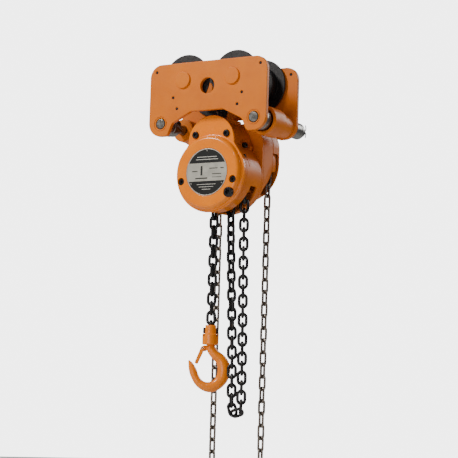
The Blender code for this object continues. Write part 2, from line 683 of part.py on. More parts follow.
def gears():
    bore = circle(0.0, MAIN_Z, 0.0095, 16)
    load_gear = toothed(LARGE_TEETH, LARGE_ROOT, LARGE_TIP, 0.0, MAIN_Z)
    outline_solid("load_gear", [load_gear, bore], *STAGE_TWO_Y, STEEL)
    for end, x_sign in SIDES:
        x, z = x_sign * idler_x(), idler_z()
        large = toothed(LARGE_TEETH, LARGE_ROOT, LARGE_TIP, x, z)
        small = toothed(SMALL_TEETH, SMALL_ROOT, SMALL_TIP, x, z)
        wheel = outline_solid("idler_gear_" + end, [large], *STAGE_ONE_Y, STEEL)
        pinion = outline_solid("idler_pinion_" + end, [small], STAGE_ONE_Y[1] - 0.001, STAGE_TWO_Y[1], STEEL, tool=True)
        journal = rod("idler_journal_" + end, 0.005, -0.040, FRONT_PLATE_Y[1], STEEL, (x, 0, z), steps=14, tool=True)
        join(wheel, pinion, journal)


def pinion_shaft():
    """Drive shaft through the hollow sheave, with the first pinion cut on its front end."""
    small = toothed(SMALL_TEETH, SMALL_ROOT, SMALL_TIP, 0.0, MAIN_Z)
    shaft = rod("pinion_shaft", PINION_SHAFT_RADIUS, -0.0465, 0.1005, STEEL, (0, 0, MAIN_Z), steps=18, chamfer=0.001)
    join(shaft, outline_solid("drive_pinion", [small], *STAGE_ONE_Y, STEEL, tool=True))


def load_sheave():
    """Hollow shaft with a grooved pocket wheel in the chain's plane; the load gear is keyed on its front."""
    r = SHEAVE_PITCH_RADIUS
    half = LOAD_CHAIN_WIDTH / 2 + CHAIN_PLAY
    front, back = STAGE_TWO_Y[0], REAR_PLATE_Y[1] + 0.001
    low, high = CHAIN_Y - half - 0.0050, CHAIN_Y + half + 0.0050
    groove = [(r - half * math.cos(a), CHAIN_Y + half * math.sin(a))
              for a in (math.pi / 2, math.pi / 4, 0.0, -math.pi / 4, -math.pi / 2)]
    rim = SHEAVE_RIM_RADIUS
    flange = [(rim, high), (rim, CHAIN_Y + half)] + groove + [(rim, CHAIN_Y - half), (rim, low)]
    profile = [(SHEAVE_BORE, back), (JOURNAL_RADIUS, back), (JOURNAL_RADIUS, high)] + flange
    profile += [(JOURNAL_RADIUS, low), (JOURNAL_RADIUS, STAGE_TWO_Y[1] + GAP), (0.0092, STAGE_TWO_Y[1] + GAP),
                (0.0092, front), (SHEAVE_BORE, front)]
    turned("load_sheave", profile, DARK, (0, 0, MAIN_Z), steps=20)
    for name, (low_y, high_y) in (("front", FRONT_PLATE_Y), ("rear", REAR_PLATE_Y)):
        collar("sheave_bearing_" + name, JOURNAL_RADIUS + GAP, BEARING_RADIUS, low_y, high_y, STEEL, (0, 0, MAIN_Z))


def brake():
    centre = (0, 0, MAIN_Z)
    hub = [(PINION_SHAFT_RADIUS + GAP, 0.0620), (HUB_RADIUS, 0.0620), (HUB_RADIUS, 0.0425), (DISC_RADIUS, 0.0425),
           (DISC_RADIUS, 0.0385), (PINION_SHAFT_RADIUS + GAP, 0.0385)]
    turned("friction_hub", hub, STEEL, centre, steps=18)
    bore = HUB_RADIUS + GAP
    collar("friction_disc_inner", bore, DISC_RADIUS, 0.0428, 0.0453, LINING, centre)
    collar("friction_disc_outer", bore, DISC_RADIUS, 0.0509, 0.0534, LINING, centre)
    outline_solid("ratchet_disc", [ratchet_outline(), circle(0.0, MAIN_Z, bore, 24)], *RATCHET_Y, STEEL)
    for name, angle in PAWLS:
        pawl(name, angle)


def pawl_pivot(angle):
    return PAWL_PIVOT_RADIUS * math.cos(angle), MAIN_Z + PAWL_PIVOT_RADIUS * math.sin(angle)


def pawl(name, angle):
    """Tapered finger from its pivot to the ratchet's teeth, drawn about the pivot."""
    tip_angle = angle + math.radians(32)
    x, z = pawl_pivot(angle)
    reach = RATCHET_TIP + 0.0006
    tip = (reach * math.cos(tip_angle) - x, MAIN_Z + reach * math.sin(tip_angle) - z)
    length = math.hypot(*tip)
    facing = math.atan2(tip[1], tip[0])
    side = (math.cos(facing - math.pi / 2), math.sin(facing - math.pi / 2))
    eye = arc(0.0, 0.0, 0.0065, facing + math.radians(60), facing + math.radians(300), 12)
    heel = 0.004
    shorter = 1 - heel / length
    nose = [tip, (tip[0] * shorter - side[0] * heel, tip[1] * shorter - side[1] * heel)]
    finger = outline_solid("pawl_" + name, [eye + nose, circle(0.0, 0.0, 0.0033, 12)], *RATCHET_Y, STEEL)
    finger.location.x = x
    finger.location.z = z


def hand_wheel():
    """Grooved wheel on a long hub, clamped against the outer friction disc."""
    y = HAND_CHAIN_Y
    half = HAND_CHAIN_WIDTH / 2 + CHAIN_PLAY
    deep = HAND_WHEEL_PITCH - half
    groove = [(HAND_WHEEL_PITCH - half * math.cos(a), y + half * math.sin(a))
              for a in (math.pi / 2, math.pi / 4, 0.0, -math.pi / 4, -math.pi / 2)]
    bore = PINION_SHAFT_RADIUS + GAP
    profile = [(bore, 0.0985), (0.014, 0.0985), (0.016, 0.0900), (deep - 0.005, 0.0900),
               (deep - 0.003, y + 0.0105), (0.0605, y + 0.0105)] + groove
    over_hub = HUB_RADIUS + 2 * GAP
    profile += [(0.0605, y - 0.0105), (deep - 0.003, y - 0.0105), (deep - 0.005, 0.0850), (0.022, 0.0850),
                (0.020, 0.0570), (DISC_RADIUS, 0.0560), (DISC_RADIUS, 0.0537), (over_hub, 0.0537),
                (over_hub, 0.0630), (bore, 0.0630)]
    turned("hand_wheel", profile, DARK, (0, 0, MAIN_Z), steps=22)


def chain_guide():
    """Block under the sheave that keeps the two strands apart."""
    front, back = FRONT_PLATE_Y[1] + GAP, REAR_PLATE_Y[0] - GAP
    top = MAIN_Z - 0.0315
    guide = box("chain_guide", (-0.0078, front, -0.205), (0.0078, back, top), DARK)
    soften = guide.modifiers.new("Round edge", "BEVEL")
    soften.width = 0.003
    soften.segments = 2


# ---- Chains --------------------------------------------------------------------------------

def tube(name, path, width, y, material, cyclic=False):
    """Plain round envelope of a chain that follows the path of (x, z) points."""
    data = bpy.data.curves.new(name, "CURVE")
    data.dimensions = "3D"
    data.bevel_depth = width / 2
    data.bevel_resolution = 2
    data.use_fill_caps = not cyclic
    spline = data.splines.new("POLY")
    spline.points.add(len(path) - 1)
    for point, (x, z) in zip(spline.points, path):
        point.co = (x, y, z, 1.0)
    spline.use_cyclic_u = cyclic
    return place(name, data, material)


def straight(start, end, spacing):
    """Points from start up to, and without, the end."""
    count = max(2, round(math.dist(start, end) / spacing))
    return [(start[0] + (end[0] - start[0]) * i / count, start[1] + (end[1] - start[1]) * i / count)
            for i in range(count)]


def leaning(top, low, count):
    """Points down a strand that hangs straight and leans in towards its lower end."""
    points = []
    for i in range(count + 1):
        share = i / count
        ease = share * share * (3 - 2 * share)
        points.append((top[0] + (low[0] - top[0]) * ease, top[1] + (low[1] - top[1]) * share))
    return points


def chains():
    spacing = 0.080
    tube("load_chain_hook", straight((-STRAND_X, MAIN_Z - 0.003), (-STRAND_X, BLOCK_TOP), spacing)
         + [(-STRAND_X, BLOCK_TOP + GAP)], LOAD_CHAIN_WIDTH, CHAIN_Y, BLACK)
    over = arc(0.0, MAIN_Z, STRAND_X, math.pi, 0.0, 10)
    near, far = SLACK_LOOP_X
    turn = (far - near) / 2
    loop_z = SLACK_BOTTOM + turn + LOAD_CHAIN_WIDTH / 2
    down = leaning((STRAND_X, MAIN_Z), (near, loop_z), 8)[1:-1]
    bottom = arc(near + turn, loop_z, turn, -math.pi, 0.0, 6)
    up = leaning((ANCHOR_X, ANCHOR_Z - 0.0045), (far, loop_z), 8)[1:-1][::-1]
    tube("load_chain_slack", over + down + bottom + up + [(ANCHOR_X, ANCHOR_Z - 0.0045)],
         LOAD_CHAIN_WIDTH, CHAIN_Y, BLACK)
    r = HAND_WHEEL_PITCH
    loop_z = HAND_CHAIN_BOTTOM + r + HAND_CHAIN_WIDTH / 2
    top = arc(0.0, MAIN_Z, r, math.pi, 0.0, 10)
    right = straight((r, MAIN_Z), (r, loop_z), spacing)[1:]
    bottom = arc(0.0, loop_z, r, 0.0, -math.pi, 10)
    left = straight((-r, loop_z), (-r, MAIN_Z), spacing)[1:]
    tube("hand_chain", top + right + bottom + left, HAND_CHAIN_WIDTH, HAND_CHAIN_Y, ZINC, cyclic=True)


# ---- Hook block and hook -------------------------------------------------------------------

def hook_frame():
    """Empty on the swivel axis, turned to the hook's resting direction."""
    frame = bpy.data.objects.new("hook_frame", None)
    PARTS.objects.link(frame)
    frame.location = (-STRAND_X, CHAIN_Y, 0.0)
    frame.rotation_euler = (0.0, 0.0, HOOK_TURN)
    return frame


def block_half(name, side, frame):
    """Half of the split block, hollow for the chain's end link and the hook's head."""
    top, low, r, neck = BLOCK_TOP, BLOCK_BOTTOM, BLOCK_RADIUS, BLOCK_NECK_RADIUS
    profile = [(0.0, top), (neck - 0.002, top), (neck, top - 0.0025), (neck, top - 0.0165), (r, top - 0.0190),
               (r, low + 0.003), (r - 0.0025, low), (0.0, low)]
    half = turned(name, profile, BRIGHT, (0, 0, 0), "Z", 16, closed=False)
    link_room = box(name + "_link_room", (-0.0040, -0.0112, top - 0.0185), (0.0040, 0.0112, top + 0.01),
                    BRIGHT, tool=True)
    head_low, head_high = HOOK_HEAD_Z
    shank = HOOK_SHANK[0][2] + 0.0005
    seat = [(0.0, head_high + 0.0005), (HOOK_HEAD_RADIUS + 0.001, head_high + 0.0005),
            (HOOK_HEAD_RADIUS + 0.001, head_low - GAP), (shank, head_low - GAP), (shank, low - 0.01), (0.0, low - 0.01)]
    head_room = turned(name + "_head_room", seat, BRIGHT, (0, 0, 0), "Z", 12, closed=False, tool=True)
    low_y, high_y = sorted((side * GAP / 2, side * -0.03))
    other = box(name + "_split", (-0.03, low_y, low - 0.02), (0.03, high_y, top + 0.02), BRIGHT, tool=True)
    cutters = [link_room, head_room, other]
    for end, x_sign in SIDES:
        near_x, far_x = sorted((x_sign * BLOCK_FLAT_X, x_sign * 0.03))
        cutters.append(box(name + "_flat_" + end, (near_x, -0.03, top - 0.0175), (far_x, 0.03, top + 0.02),
                           BRIGHT, tool=True))
        cutters.append(rod(name + "_bolt_hole_" + end, BLOCK_BOLT_RADIUS + GAP, -0.03, 0.03, BRIGHT,
                           (x_sign * BLOCK_BOLT_X, 0, BLOCK_BOLT_Z), steps=10, tool=True))
    cutters.append(rod(name + "_pin_hole", CHAIN_PIN_RADIUS + GAP, -0.03, 0.03, BRIGHT, (0, 0, CHAIN_PIN_Z),
                       "X", 12, tool=True))
    for piece in [half] + cutters:
        piece.parent = frame
    cut(half, *cutters)


def hook_block(frame):
    block_half("hook_block_front", -1, frame)
    block_half("hook_block_rear", 1, frame)
    flat_x, reach = BLOCK_FLAT_X + GAP, CHAIN_PIN_REACH
    profile = [(0.0, reach), (CHAIN_PIN_HEAD, reach), (CHAIN_PIN_HEAD, flat_x), (CHAIN_PIN_RADIUS, flat_x),
               (CHAIN_PIN_RADIUS, -flat_x), (CHAIN_PIN_HEAD, -flat_x), (CHAIN_PIN_HEAD, -reach), (0.0, -reach)]
    pin = turned("chain_pin", profile, BLACK, (0, 0, CHAIN_PIN_Z), "X", 14, closed=False)
    pin.parent = frame
    for end, x_sign in SIDES:
        bolt = rod("block_bolt_" + end, BLOCK_BOLT_RADIUS, -0.0115, 0.0115, BLACK,
                   (x_sign * BLOCK_BOLT_X, 0, BLOCK_BOLT_Z), steps=10)
        bolt.parent = frame


def hook_path():
    """Centreline (h, z) with the section's half thickness: shank, bowl and point."""
    centre_h, centre_z = BOWL_CENTRE
    bowl = []
    for degrees, reach, thick in HOOK_BOWL:
        angle = math.radians(degrees)
        bowl.append((centre_h + reach * math.cos(angle), centre_z + reach * math.sin(angle), thick))
    return list(HOOK_SHANK) + bowl + [HOOK_TIP]


def hook(frame):
    """Swept hook with a headed shank that turns in the block."""
    data = bpy.data.curves.new("hook", "CURVE")
    data.dimensions = "3D"
    data.bevel_depth = 1.0
    data.bevel_resolution = 2
    data.use_fill_caps = True
    spline = data.splines.new("POLY")
    path = hook_path()
    spline.points.add(len(path) - 1)
    for point, (h, z, radius) in zip(spline.points, path):
        point.co = (h, 0.0, z, 1.0)
        point.radius = radius
    body = as_mesh(place("hook", data, BRIGHT))
    head = rod("hook_head", HOOK_HEAD_RADIUS, *HOOK_HEAD_Z, BRIGHT, (0, 0, 0), "Z", 14, tool=True)
    h, z = LATCH_PIVOT
    lug = rod("latch_lug", 0.0060, -0.0035, 0.0035, BRIGHT, (h + 0.004, 0, z), steps=12, tool=True)
    hole = rod("latch_hole", LATCH_PIN_RADIUS + GAP, -0.02, 0.02, BRIGHT, (h, 0, z), steps=10, tool=True)
    join(body, head, lug)
    cut(body, hole)
    for piece in (body, head, lug, hole):
        piece.parent = frame


def latch(frame):
    """Sprung gate from its pin to the inside of the hook's point."""
    h, z = LATCH_PIVOT
    pin = rod("latch_pin", LATCH_PIN_RADIUS, -0.0072, 0.0072, STEEL, (h, 0, z), steps=10)
    dx, dz = LATCH_TIP[0] - h, LATCH_TIP[1] - z
    length = math.hypot(dx, dz)
    nx, nz = -dz / length, dx / length
    facing = math.atan2(dz, dx)
    eye = arc(0.0, 0.0, 0.0042, facing + math.radians(70), facing + math.radians(290), 10)
    half = 0.0022
    end = [(dx - nx * half, dz - nz * half), (dx + nx * half, dz + nz * half)]
    hole = circle(0.0, 0.0, LATCH_PIN_RADIUS + GAP, 10)
    gate = outline_solid("hook_latch", [eye + end, hole], -LATCH_HALF_WIDTH, LATCH_HALF_WIDTH, BRIGHT)
    gate.location.x, gate.location.z = h, z
    slot = box("latch_slot", (h - 0.012, -0.0041, z - 0.010), (h + 0.012, 0.0041, z + 0.012), BRIGHT, tool=True)
    cut(gate, slot)
    for piece in (pin, gate, slot):
        piece.parent = frame


def build():
    for name, side in FACES:
        side_plate(name, side)
        for end, x_sign in SIDES:
            track_wheel(name, side, end, x_sign)
    for end, x_sign in SIDES:
        suspension(end, x_sign)
    yoke()
    hanger_bolt()
    frame_plate_front()
    frame_plate_rear()
    body_shell()
    brake_housing()
    wheel_cover()
    gear_cover()
    cover_fittings()
    gears()
    pinion_shaft()
    load_sheave()
    brake()
    hand_wheel()
    chain_guide()
    chains()
    frame = hook_frame()
    hook_block(frame)
    hook(frame)
    latch(frame)


build()
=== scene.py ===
"""Looks of the hand chain hoist: fine meshes, materials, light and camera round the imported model.

Metres, +Z up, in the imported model's frame: X runs along the beam and -Y is the gear cover's side.
"""
import math

import bmesh
import bpy
from mathutils import Matrix, Vector


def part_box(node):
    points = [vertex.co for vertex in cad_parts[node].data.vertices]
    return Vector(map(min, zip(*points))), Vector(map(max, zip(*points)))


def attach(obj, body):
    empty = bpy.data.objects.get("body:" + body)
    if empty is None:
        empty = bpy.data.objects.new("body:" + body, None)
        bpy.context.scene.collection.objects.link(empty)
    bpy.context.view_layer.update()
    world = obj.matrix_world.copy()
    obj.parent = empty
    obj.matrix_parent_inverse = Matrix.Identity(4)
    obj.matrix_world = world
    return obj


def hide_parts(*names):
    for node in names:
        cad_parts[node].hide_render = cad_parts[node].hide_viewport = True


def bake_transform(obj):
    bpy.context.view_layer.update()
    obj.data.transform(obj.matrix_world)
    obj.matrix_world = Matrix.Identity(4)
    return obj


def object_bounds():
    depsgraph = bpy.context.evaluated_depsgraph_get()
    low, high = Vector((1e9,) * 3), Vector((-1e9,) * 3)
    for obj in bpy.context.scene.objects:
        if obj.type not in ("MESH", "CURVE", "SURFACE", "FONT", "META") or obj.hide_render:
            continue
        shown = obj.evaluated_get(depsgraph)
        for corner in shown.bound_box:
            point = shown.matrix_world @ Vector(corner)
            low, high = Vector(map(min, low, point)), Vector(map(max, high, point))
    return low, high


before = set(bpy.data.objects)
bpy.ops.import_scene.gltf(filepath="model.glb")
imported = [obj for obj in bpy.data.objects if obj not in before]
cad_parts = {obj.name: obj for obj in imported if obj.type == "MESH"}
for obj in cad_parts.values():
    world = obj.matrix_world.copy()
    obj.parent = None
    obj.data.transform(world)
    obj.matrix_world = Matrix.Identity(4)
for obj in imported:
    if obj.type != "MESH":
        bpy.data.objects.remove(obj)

CAD_BOX = [list(corner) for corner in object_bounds()]
GAP = 0.0003                  # clearance between touching pieces
SHAFT_GAP = 0.0014            # dark line round each suspension shaft
SHARP = math.radians(32)      # edges steeper than this stay sharp

SIDES = (("left", -1), ("right", 1))
FACES = (("front", -1), ("rear", 1))


def middle(node):
    low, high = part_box(node)
    return (low + high) / 2


def across(node):
    """Front and back of a node, in Y."""
    low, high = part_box(node)
    return low.y, high.y


# ---- Places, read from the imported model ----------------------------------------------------

PLATE_LOW, PLATE_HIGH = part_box("side_plate_front")
PLATE_OUTER_Y = -PLATE_LOW.y
PLATE_INNER_Y = -PLATE_HIGH.y
AXLE_X, AXLE_Z = middle("wheel_axle_front_right").x, middle("wheel_axle_front_right").z
SHAFT_X, SHAFT_Z = middle("suspension_shaft_right").x, middle("suspension_shaft_right").z
SHAFT_FRONT_Y, SHAFT_BACK_Y = across("suspension_shaft_right")
YOKE_FRONT_Y, YOKE_BACK_Y = across("yoke")
YOKE_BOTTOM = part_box("yoke")[0].z
MAIN_Z = middle("hand_wheel").z
FACE_Z = middle("nameplate").z
FACE_Y, NAMEPLATE_BACK_Y = across("nameplate")
CHAIN_Y = middle("load_chain_hook").y
STRAND_X = -middle("load_chain_hook").x
HAND_CHAIN_Y = middle("hand_chain").y
BLOCK_TOP, BLOCK_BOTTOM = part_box("hook_block_front")[1].z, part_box("hook_block_front")[0].z
HOOK_FRAME = Matrix.Translation((-STRAND_X, CHAIN_Y, 0.0)) @ Matrix.Rotation(math.radians(30), 4, "Z")

# ---- Sizes of the finer shapes -------------------------------------------------------------

PLATE_CORNER = 0.027
ARCH_TOP = -0.0275
ARCH_HALF_TOP = 0.038
SIGHT_HOLE = (0.0, 0.0226, 0.0163)                      # x, z, radius
SMALL_HOLES = ((0.1227, 0.0586), (0.0812, 0.0032), (0.0712, -0.0201))
SMALL_HOLE_RADIUS = 0.003
AXLE_RADIUS = 0.0085
AXLE_HEAD_RADIUS = 0.0172
AXLE_HEAD_THICK = 0.0032
TREAD_RADIUS = 0.038
WHEEL_FLANGE_RADIUS = 0.055
WHEEL_INNER_Y, WHEEL_OUTER_Y = across("track_wheel_rear_right")
WHEEL_FLANGE_Y = WHEEL_OUTER_Y - 0.0056

SHAFT_RADIUS = 0.010
COTTER_Y = middle("cotter_pin_right").y
COTTER_RADIUS = 0.0018
WASHER_RADIUS = 0.0175
WASHER_COUNT = 8
WHEEL_COVER_SCREW_CIRCLE = 0.0600
NAMEPLATE_RIVET_CIRCLE = 0.0430
SPACER_RADIUS = 0.0215
REAR_SPACER_RADIUS = 0.0240
RING_RADIUS = 0.0295
RING_RECESS_RADIUS = 0.0230
RING_RECESS_DEPTH = 0.012
YOKE_TOP = -0.022
YOKE_SEAT_Z = -0.0375
YOKE_SEAT_HALF = 0.033
YOKE_ARCH_RADIUS = 0.0805
HANGER_RADIUS = 0.010

LOBE_Z = -0.0885
SHELL_RADIUS = 0.077
SHELL_LOBE = 0.0485
SHELL_WALL = 0.0035
SHELL_TOP = -0.0378
SLIT = ((-0.0262, -0.1150), (-0.0172, -0.1395))         # its ends, y and z
SLIT_HALF_WIDTH = 0.0011
SIDE_BOLT = (-0.0040, -0.0925)
COVER_RADIUS = 0.080
COVER_LOBE = 0.0540
COVER_FLANGE_Y = -0.0460
COVER_LIP = 0.0045
DOME_RADIUS = 0.0745
DOME_FLAT = 0.0665
NAMEPLATE_RADIUS = 0.0478
COVER_BOLTS = ((-0.0365, -0.0735), (0.0365, -0.0735), (-0.0605, -0.1690), (0.0605, -0.1690))
COVER_BOLT_SEATS = (-0.0440, -0.0440, -0.0500, -0.0500)
OIL_PLUG = (0.0530, -0.1950)
BIG_TANGENT = math.radians(23.5)
LOBE_TANGENT = math.radians(-4.0)
WHEEL_COVER_RADIUS = 0.076
COVER_WALL = 0.003
SLOT_Y = (0.0765, 0.0990)
HAND_WHEEL_PITCH = 0.0575

LOAD_CHAIN = {"pitch": 0.0191, "width": 0.0210, "wire": 0.0063}
HAND_CHAIN = {"pitch": 0.0247, "width": 0.0170, "wire": 0.0050}
ANCHOR = (0.052, -0.1865)
SLACK_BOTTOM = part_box("load_chain_slack")[0].z
HAND_CHAIN_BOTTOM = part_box("hand_chain")[0].z
SLACK_LOOP_X = (0.0350, 0.0575)

BLOCK_NECK_RADIUS = 0.0140
BLOCK_RADIUS = 0.0165
BLOCK_FLAT_X = 0.0108
CHAIN_PIN_RADIUS = 0.0032
CHAIN_PIN_HEAD = 0.0058
BLOCK_BOLT_X = 0.0130
BLOCK_BOLT_Z = -0.4765
HOOK_SHANK = ((0.0, -0.4860, 0.0078), (0.0, -0.4956, 0.0078), (0.0006, -0.4990, 0.0090),
              (0.0040, -0.5065, 0.0094), (0.0115, -0.5155, 0.0100))    # h, z, half thickness
BOWL_CENTRE = (-0.0040, -0.5485)
HOOK_BOWL = ((45, 0.0355, 0.0108), (31, 0.0347, 0.0122), (15, 0.0338, 0.0128), (0, 0.0330, 0.0128),
             (-24, 0.0326, 0.0122), (-48, 0.0322, 0.0114), (-65, 0.0323, 0.0110), (-81, 0.0322, 0.0106),
             (-98, 0.0310, 0.0094), (-116, 0.0295, 0.0084), (-134, 0.0281, 0.0080), (-152, 0.0272, 0.0078),
             (-167, 0.0278, 0.0079), (-182, 0.0297, 0.0078), (-193, 0.0330, 0.0066), (-201, 0.0368, 0.0050),
             (-206, 0.0410, 0.0028))                    # degrees, reach, half thickness
HOOK_TIP = (-0.0425, -0.5275, 0.0012)
HOOK_HEAD_RADIUS = 0.0115
HOOK_HEAD_Z = (-0.4872, -0.4795)
LATCH_PIVOT = (-0.0150, -0.5025)
LATCH_TIP = (-0.0280, -0.5340)
LATCH_PIN_RADIUS = 0.0017

# Camera
LENS = 122.5
EYE = (1.6503, -2.6736, -0.5980)
VIEW_RIGHT = (0.8552, 0.5174, 0.0298)
VIEW_UP = (0.0300, -0.1068, 0.9938)


# ---- Materials -----------------------------------------------------------------------------

def base_material(name, metallic, coat=0.0):
    """A new material with its node tree, its shader and object coordinates to drive textures."""
    made = bpy.data.materials.new(name)
    made.use_nodes = True
    tree = made.node_tree
    shader = tree.nodes["Principled BSDF"]
    shader.inputs["Metallic"].default_value = metallic
    shader.inputs["Coat Weight"].default_value = coat
    place = tree.nodes.new("ShaderNodeTexCoord").outputs["Object"]
    return made, tree, shader, place


def noise(tree, place, scale, detail=4.0, stretch=(1.0, 1.0, 1.0)):
    mapping = tree.nodes.new("ShaderNodeMapping")
    mapping.inputs["Scale"].default_value = stretch
    tree.links.new(place, mapping.inputs["Vector"])
    made = tree.nodes.new("ShaderNodeTexNoise")
    made.inputs["Scale"].default_value = scale
    made.inputs["Detail"].default_value = detail
    tree.links.new(mapping.outputs["Vector"], made.inputs["Vector"])
    return made.outputs["Fac"]


def ramp(tree, value, stops):
    """Colours at positions along a value; stops are (position, colour)."""
    made = tree.nodes.new("ShaderNodeValToRGB")
    elements = made.color_ramp.elements
    while len(elements) < len(stops):
        elements.new(0.5)
    for element, (position, colour) in zip(elements, stops):
        element.position = position
        element.color = (*colour, 1.0)
    tree.links.new(value, made.inputs["Fac"])
    return made.outputs["Color"]


def mixed(tree, share, first, second, blend="MIX"):
    made = tree.nodes.new("ShaderNodeMix")
    made.data_type = "RGBA"
    made.blend_type = blend
    tree.links.new(share, made.inputs["Factor"])
    for socket, colour in ((made.inputs[6], first), (made.inputs[7], second)):
        if isinstance(colour, tuple):
            socket.default_value = (*colour, 1.0)
        else:
            tree.links.new(colour, socket)
    return made.outputs[2]


def spread(tree, value, low, high):
    """The value mapped from the middle of a noise to the range low to high."""
    made = tree.nodes.new("ShaderNodeMapRange")
    made.inputs["From Min"].default_value = 0.3
    made.inputs["From Max"].default_value = 0.7
    made.inputs["To Min"].default_value = low
    made.inputs["To Max"].default_value = high
    tree.links.new(value, made.inputs["Value"])
    return made.outputs["Result"]


def bump(tree, shader, height, strength, distance):
    made = tree.nodes.new("ShaderNodeBump")
    made.inputs["Strength"].default_value = strength
    made.inputs["Distance"].default_value = distance
    tree.links.new(height, made.inputs["Height"])
    tree.links.new(made.outputs["Normal"], shader.inputs["Normal"])


def paint(name, dark, light, roughness, coat, grain):
    """Sprayed enamel on a casting: cloudy colour, orange-peel skin and a few dull rubs."""
    made, tree, shader, place = base_material(name, 0.0, coat)
    shader.inputs["Coat Roughness"].default_value = 0.12
    shader.inputs["Specular IOR Level"].default_value = 0.28
    clouds = ramp(tree, noise(tree, place, 22.0, 3.0), ((0.30, dark), (0.70, light)))
    specks = ramp(tree, noise(tree, place, 900.0, 2.0), ((0.64, (0.0, 0.0, 0.0)), (0.72, (1.0, 1.0, 1.0))))
    dust = tuple(0.80 * c + 0.01 for c in dark)
    tree.links.new(mixed(tree, specks, clouds, dust), shader.inputs["Base Color"])
    tree.links.new(spread(tree, noise(tree, place, 60.0), *roughness), shader.inputs["Roughness"])
    bump(tree, shader, noise(tree, place, 420.0, 3.0), grain, 0.0004)
    return made


def metal(name, dark, light, roughness, metallic, grain, stretch=(1.0, 1.0, 1.0), rust=None):
    """Bare, plated or blackened metal with tool marks along one direction and stains."""
    made, tree, shader, place = base_material(name, metallic)
    marks = noise(tree, place, 260.0, 5.0, stretch)
    colour = ramp(tree, marks, ((0.32, dark), (0.68, light)))
    if rust:
        stains = ramp(tree, noise(tree, place, 150.0, 6.0),
                      ((0.56, (0.0, 0.0, 0.0)), (0.72, (0.8, 0.8, 0.8))))
        colour = mixed(tree, stains, colour, rust)
    tree.links.new(colour, shader.inputs["Base Color"])
    tree.links.new(spread(tree, noise(tree, place, 90.0), *roughness), shader.inputs["Roughness"])
    bump(tree, shader, marks, grain, 0.0002)
    return made


def make_materials():
    """One material for each slot of the record, and a few for small trim."""
    return {
        "orange_paint": paint("orange_paint", (0.620, 0.140, 0.000), (0.700, 0.170, 0.000), (0.36, 0.48),
                              0.0, 0.25),
        "bright_orange_paint": paint("bright_orange_paint", (0.840, 0.195, 0.000), (0.920, 0.235, 0.000),
                                     (0.20, 0.30), 0.30, 0.12),
        "bare_steel": metal("bare_steel", (0.13, 0.125, 0.115), (0.29, 0.28, 0.26), (0.26, 0.42), 1.0, 0.30,
                            (1.0, 6.0, 1.0)),
        "dark_iron": metal("dark_iron", (0.012, 0.011, 0.012), (0.034, 0.032, 0.033), (0.36, 0.52), 0.6,
                           0.45),
        "black_oxide": metal("black_oxide", (0.010, 0.010, 0.011), (0.030, 0.029, 0.029), (0.24, 0.40),
                             0.55, 0.35,
                             rust=(0.050, 0.036, 0.028)),
        "zinc_chain": metal("zinc_chain", (0.100, 0.082, 0.068), (0.300, 0.262, 0.225), (0.22, 0.42), 0.9,
                            0.40,
                            rust=(0.095, 0.062, 0.045)),
        "nameplate_face": metal("nameplate_face", (0.44, 0.42, 0.36), (0.56, 0.54, 0.47), (0.30, 0.42),
                                0.55, 0.12,
                                (1.0, 1.0, 14.0)),
        "friction_lining": metal("friction_lining", (0.07, 0.05, 0.04), (0.15, 0.11, 0.08), (0.75, 0.9),
                                 0.0, 0.60),
        "black_enamel": paint("black_enamel", (0.003, 0.003, 0.003), (0.006, 0.006, 0.006), (0.45, 0.60),
                              0.0, 0.10),
        "grey_print": paint("grey_print", (0.012, 0.011, 0.010), (0.024, 0.022, 0.020), (0.40, 0.55), 0.0,
                            0.10),
        "pale_print": paint("pale_print", (0.60, 0.58, 0.52), (0.72, 0.70, 0.64), (0.35, 0.50), 0.0, 0.10),
    }


MATERIALS = make_materials()


# ---- Outlines and meshes -------------------------------------------------------------------

def arc(cx, cz, radius, start, end, count):
    step = (end - start) / count
    return [(cx + radius * math.cos(start + i * step), cz + radius * math.sin(start + i * step))
            for i in range(count + 1)]


def circle(cx, cz, radius, count=40):
    return arc(cx, cz, radius, 0.0, math.tau, count)[:-1]


def rounded(corners, count=8, closed=True):
    """Outline whose corners (x, z, radius) are rounded by tangent arcs; an open one keeps its ends."""
    points = []
    total = len(corners)
    for i, (x, z, radius) in enumerate(corners):
        if radius == 0 or (not closed and i in (0, total - 1)):
            points.append((x, z))
            continue
        before, after = corners[i - 1], corners[(i + 1) % total]
        ax, az = before[0] - x, before[1] - z
        bx, bz = after[0] - x, after[1] - z
        la, lb = math.hypot(ax, az), math.hypot(bx, bz)
        ax, az, bx, bz = ax / la, az / la, bx / lb, bz / lb
        half = math.acos(max(-1.0, min(1.0, ax * bx + az * bz))) / 2
        reach = radius / math.tan(half)
        mx, mz = ax + bx, az + bz
        scale = radius / math.sin(half) / math.hypot(mx, mz)
        cx, cz = x + mx * scale, z + mz * scale
        first = math.atan2(z + az * reach - cz, x + ax * reach - cx)
        last = math.atan2(z + bz * reach - cz, x + bx * reach - cx)
        turn = (last - first + math.pi) % math.tau - math.pi
        points += arc(cx, cz, radius, first, first + turn, count)
    return points


def mirrored(right_half):
    return right_half + [(-x, z) for x, z in reversed(right_half)]


def area(outline):
    return sum(a[0] * b[1] - b[0] * a[1] for a, b in zip(outline, outline[1:] + outline[:1])) / 2


def as_mesh(shape, name):
    """A new mesh with the bmesh's faces; the bmesh is freed."""
    mesh = bpy.data.meshes.new(name)
    shape.to_mesh(mesh)
    shape.free()
    return mesh


def welded(mesh):
    shape = bmesh.new()
    shape.from_mesh(mesh)
    bmesh.ops.remove_doubles(shape, verts=shape.verts, dist=0.000005)
    bmesh.ops.dissolve_degenerate(shape, edges=shape.edges, dist=0.000005)
    bmesh.ops.recalc_face_normals(shape, faces=shape.faces)
    shape.to_mesh(mesh)
    shape.free()
    return mesh


